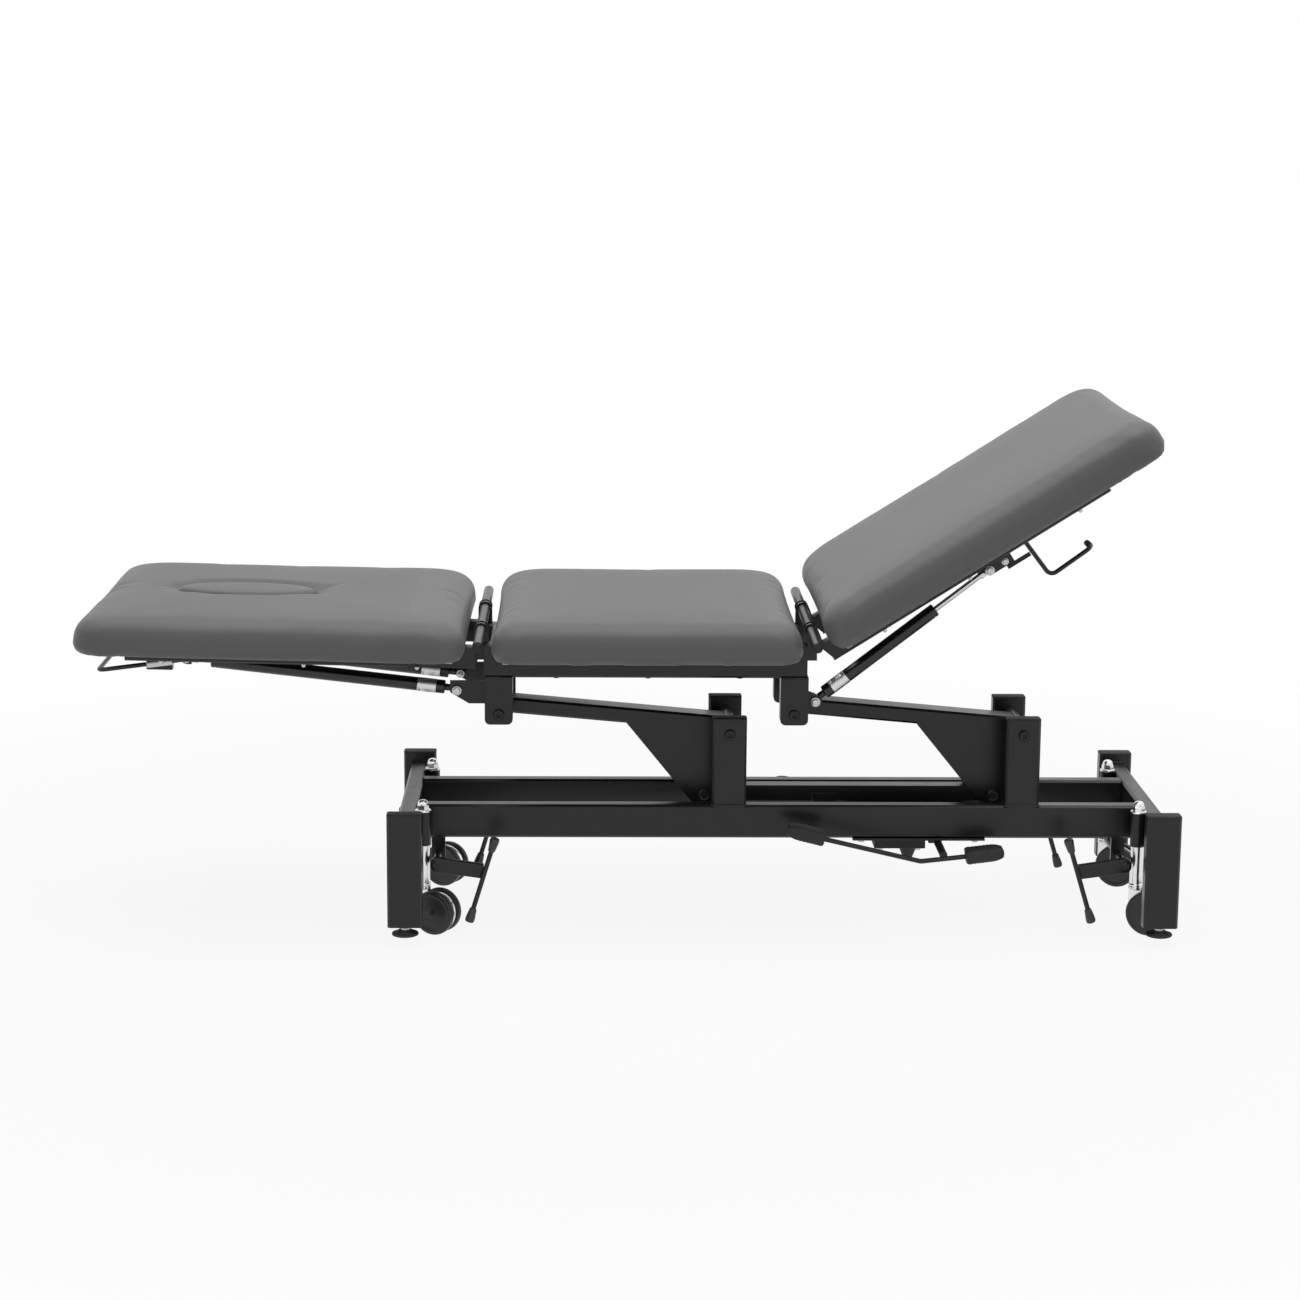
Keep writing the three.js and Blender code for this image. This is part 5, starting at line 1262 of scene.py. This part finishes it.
# Stage
class TABLE_OT_stage(bpy.types.Operator):
    """Makes the floor, the lights and the camera"""

    bl_idname = "table.stage"
    bl_label = "Stage"

    def execute(self, context):
        settings = context.scene.table_stage
        self.floor(settings)
        self.lamp("top_light", Vector((0.1, -0.2, 3.4)), Vector((0.1, 0.1, 0.5)), (4.6, 3.2), settings.key)
        self.lamp("front_light", Vector((-1.2, -5.4, 2.2)), Vector((0, 0, 0.5)), (4.0, 2.6), settings.fill)
        self.lamp("rim_light", Vector((3.4, 2.4, 2.6)), Vector((0.3, 0, 0.6)), (2.0, 2.0), settings.fill * 0.4)
        self.sky(context.scene, settings.sky)
        self.camera(context.scene)
        context.scene.view_settings.view_transform = "Standard"
        return {"FINISHED"}

    def floor(self, settings):
        """A floor that bends up into a backdrop."""
        front, near, reach, rise, bend, wide, sink, steps = -7.5, -3.0, 4.2, 5.0, 1.6, 9.0, 0.0002, 12
        rows = [(front, 0.0), (near, 0.0), (0.0, 0.0), (reach, 0.0)]
        angles = [math.pi / 2 * i / steps for i in range(1, steps + 1)]
        rows += [(reach + bend * math.sin(angle), bend * (1 - math.cos(angle))) for angle in angles]
        rows.append((reach + bend, rise))
        form = bmesh.new()
        lines = [[form.verts.new((x, y, z - sink)) for x in (-wide, 0, wide)] for y, z in rows]
        for low, high in zip(lines, lines[1:]):
            for i in range(2):
                form.faces.new((low[i], low[i + 1], high[i + 1], high[i]))
        mesh = new_mesh("sweep", form)
        smooth(mesh, 60)
        new_piece("sweep", mesh, floor_finish(tuple(settings.floor)))

    def lamp(self, name, place, aim, size, power):
        data = bpy.data.lights.new(name, "AREA")
        data.shape = "RECTANGLE"
        data.size, data.size_y = size
        data.energy = power
        lamp = bpy.data.objects.new(name, data)
        lamp.location = place
        lamp.rotation_mode = "QUATERNION"
        lamp.rotation_quaternion = (aim - place).to_track_quat("-Z", "Y")
        bpy.context.scene.collection.objects.link(lamp)

    def sky(self, scene, strength):
        """An even light, with plain white behind it for the camera, reflections and clear parts."""
        scene.world = scene.world or bpy.data.worlds.new("studio")
        scene.world.use_nodes = True
        tree, colour = scene.world.node_tree, (1, 1, 1, 1)
        tree.nodes.clear()
        path = tree_node(tree, "ShaderNodeLightPath")
        soft = tree_node(tree, "ShaderNodeBackground", None, {"Color": colour, "Strength": strength})
        white = tree_node(tree, "ShaderNodeBackground", None, {"Color": colour, "Strength": 1.0})
        first = tree_node(tree, "ShaderNodeMath", {"operation": "MAXIMUM"},
                          {0: path["Is Camera Ray"], 1: path["Is Glossy Ray"]})
        seen = tree_node(tree, "ShaderNodeMath", {"operation": "MAXIMUM"},
                         {0: first[0], 1: path["Is Transmission Ray"]})
        pick = tree_node(tree, "ShaderNodeMixShader", None, {0: seen[0], 1: soft[0], 2: white[0]})
        tree_node(tree, "ShaderNodeOutputWorld", None, {0: pick[0]})

    def camera(self, scene):
        """A camera where the photo was taken from."""
        yaw, pitch, roll = (math.radians(angle) for angle in (1.195, 11.096, 0.411))
        ahead = Vector((math.sin(yaw) * math.cos(pitch), math.cos(yaw) * math.cos(pitch), -math.sin(pitch)))
        right = Vector((math.cos(yaw), -math.sin(yaw), 0))
        up = right.cross(ahead)
        turned_right = right * math.cos(roll) + up * math.sin(roll)
        turned_up = up * math.cos(roll) - right * math.sin(roll)
        data = bpy.data.cameras.new("photo_camera")
        data.lens, data.sensor_width = 80.57, 36
        data.clip_end = 60
        camera = bpy.data.objects.new("photo_camera", data)
        camera.matrix_world = Matrix((turned_right, turned_up, -ahead)).transposed().to_4x4()
        centre = (middle("end_frame_face") + middle("end_frame_back")) / 2
        camera.location = (centre.x - 0.3359, -5.0989, 1.4737)
        scene.collection.objects.link(camera)
        scene.camera = camera


class TABLE_PT_panel(bpy.types.Panel):
    bl_label = "Treatment table"
    bl_idname = "TABLE_PT_panel"
    bl_space_type = "VIEW_3D"
    bl_region_type = "UI"
    bl_category = "Table"

    def draw(self, context):
        for operator in OPERATORS:
            self.layout.operator(operator.bl_idname)
        for name in SETTINGS:
            group = getattr(context.scene, name)
            for key in group.__annotations__:
                self.layout.prop(group, key)


SETTINGS = {"table_upholstery": UpholsterySettings, "table_metal": MetalSettings, "table_stage": StageSettings}
OPERATORS = (TABLE_OT_upholstery, TABLE_OT_base, TABLE_OT_casters, TABLE_OT_levers, TABLE_OT_lift, TABLE_OT_pump,
             TABLE_OT_seat_frame, TABLE_OT_sections, TABLE_OT_struts, TABLE_OT_releases, TABLE_OT_fittings,
             TABLE_OT_stage)


def register():
    for name, group in SETTINGS.items():
        bpy.utils.register_class(group)
        setattr(bpy.types.Scene, name, PointerProperty(type=group))
    for cls in (*OPERATORS, TABLE_PT_panel):
        bpy.utils.register_class(cls)


def unregister():
    for cls in reversed((*OPERATORS, TABLE_PT_panel)):
        bpy.utils.unregister_class(cls)
    for name, group in SETTINGS.items():
        delattr(bpy.types.Scene, name)
        bpy.utils.unregister_class(group)


def prepare(scene):
    """Builds the finishes, the node trees and the small parts that the operators share."""
    FINISHES.update({
        "cover": cover_finish(scene.table_upholstery),
        "coat": coat_finish("powder coat", tuple(scene.table_metal.coat)),
        "chrome": plated_finish("chrome plate", (0.8, 0.8, 0.81), 0.16),
        "rod": plated_finish("ground rod", (0.62, 0.62, 0.63), 0.16),
        "zinc": plated_finish("zinc plate", (0.55, 0.55, 0.56), 0.3),
        "zinc_dark": plated_finish("black oxide", (0.035, 0.035, 0.037), 0.42),
        "rubber": rubber_finish("moulded rubber", (0.019, 0.019, 0.02)),
        "wheel": rubber_finish("wheel nylon", (0.012, 0.012, 0.0125), 0.34, 0.0014),
        "strut": coat_finish("strut enamel", (0.008, 0.008, 0.0085), 0.2, 0.004, 0.00002, 0.06, 0.5),
        "label": plated_finish("brushed band", (0.72, 0.72, 0.72), 0.34, (0.06, 1.0, 0.06)),
        "knob": coat_finish("glossy knob", (0.045, 0.045, 0.047), 0.22, 0.003, 0.00002, 0.05, 0.5),
        "cast": cast_finish((0.018, 0.018, 0.019)),
    })
    TREES.update({"rod": rod_tree(), "fasteners": fastener_tree()})
    PARTS.update({
        "hex_bolt": small_part("hex_bolt_pattern", [
            ([(0, 0), (0.98, 0), (1.02, 0.03), (1.02, 0.17), (0.97, 0.2), (0, 0.2)], 28),
            ([(0, 0.2), (0.8, 0.2), (0.8, 0.62), (0.7, 0.72), (0, 0.72)], 6)]),
        "socket_bolt": small_part("socket_bolt_pattern", [
            ([(0, 0), (0.94, 0), (1.0, 0.06), (1.0, 0.34), (0.9, 0.5), (0.66, 0.56), (0.45, 0.56),
              (0.45, 0.2), (0, 0.2)], 24)]),
        "dome_nut": small_part("dome_nut_pattern", [
            ([(0, 0), (1.05, 0), (1.05, 0.14), (0, 0.14)], 24),
            ([(0, 0.14), (0.86, 0.14), (0.86, 0.6), (0, 0.6)], 6),
            ([(0.7, 0.6), (0.68, 0.85), (0.52, 1.1), (0.28, 1.24), (0, 1.28)], 20)]),
        "staple": small_part("staple_pattern", slabs=[
            (-1.0, -0.8, -0.2, 0.1), (0.8, 1.0, -0.2, 0.1), (-1.0, 1.0, 0.1, 0.22)]),
    })


def main():
    register()
    prepare(bpy.context.scene)
    for operator in OPERATORS:
        group, name = operator.bl_idname.split(".")
        getattr(getattr(bpy.ops, group), name)()
    for part in PARTS.values():
        bpy.data.objects.remove(part)


if __name__ == "__main__":
    main()
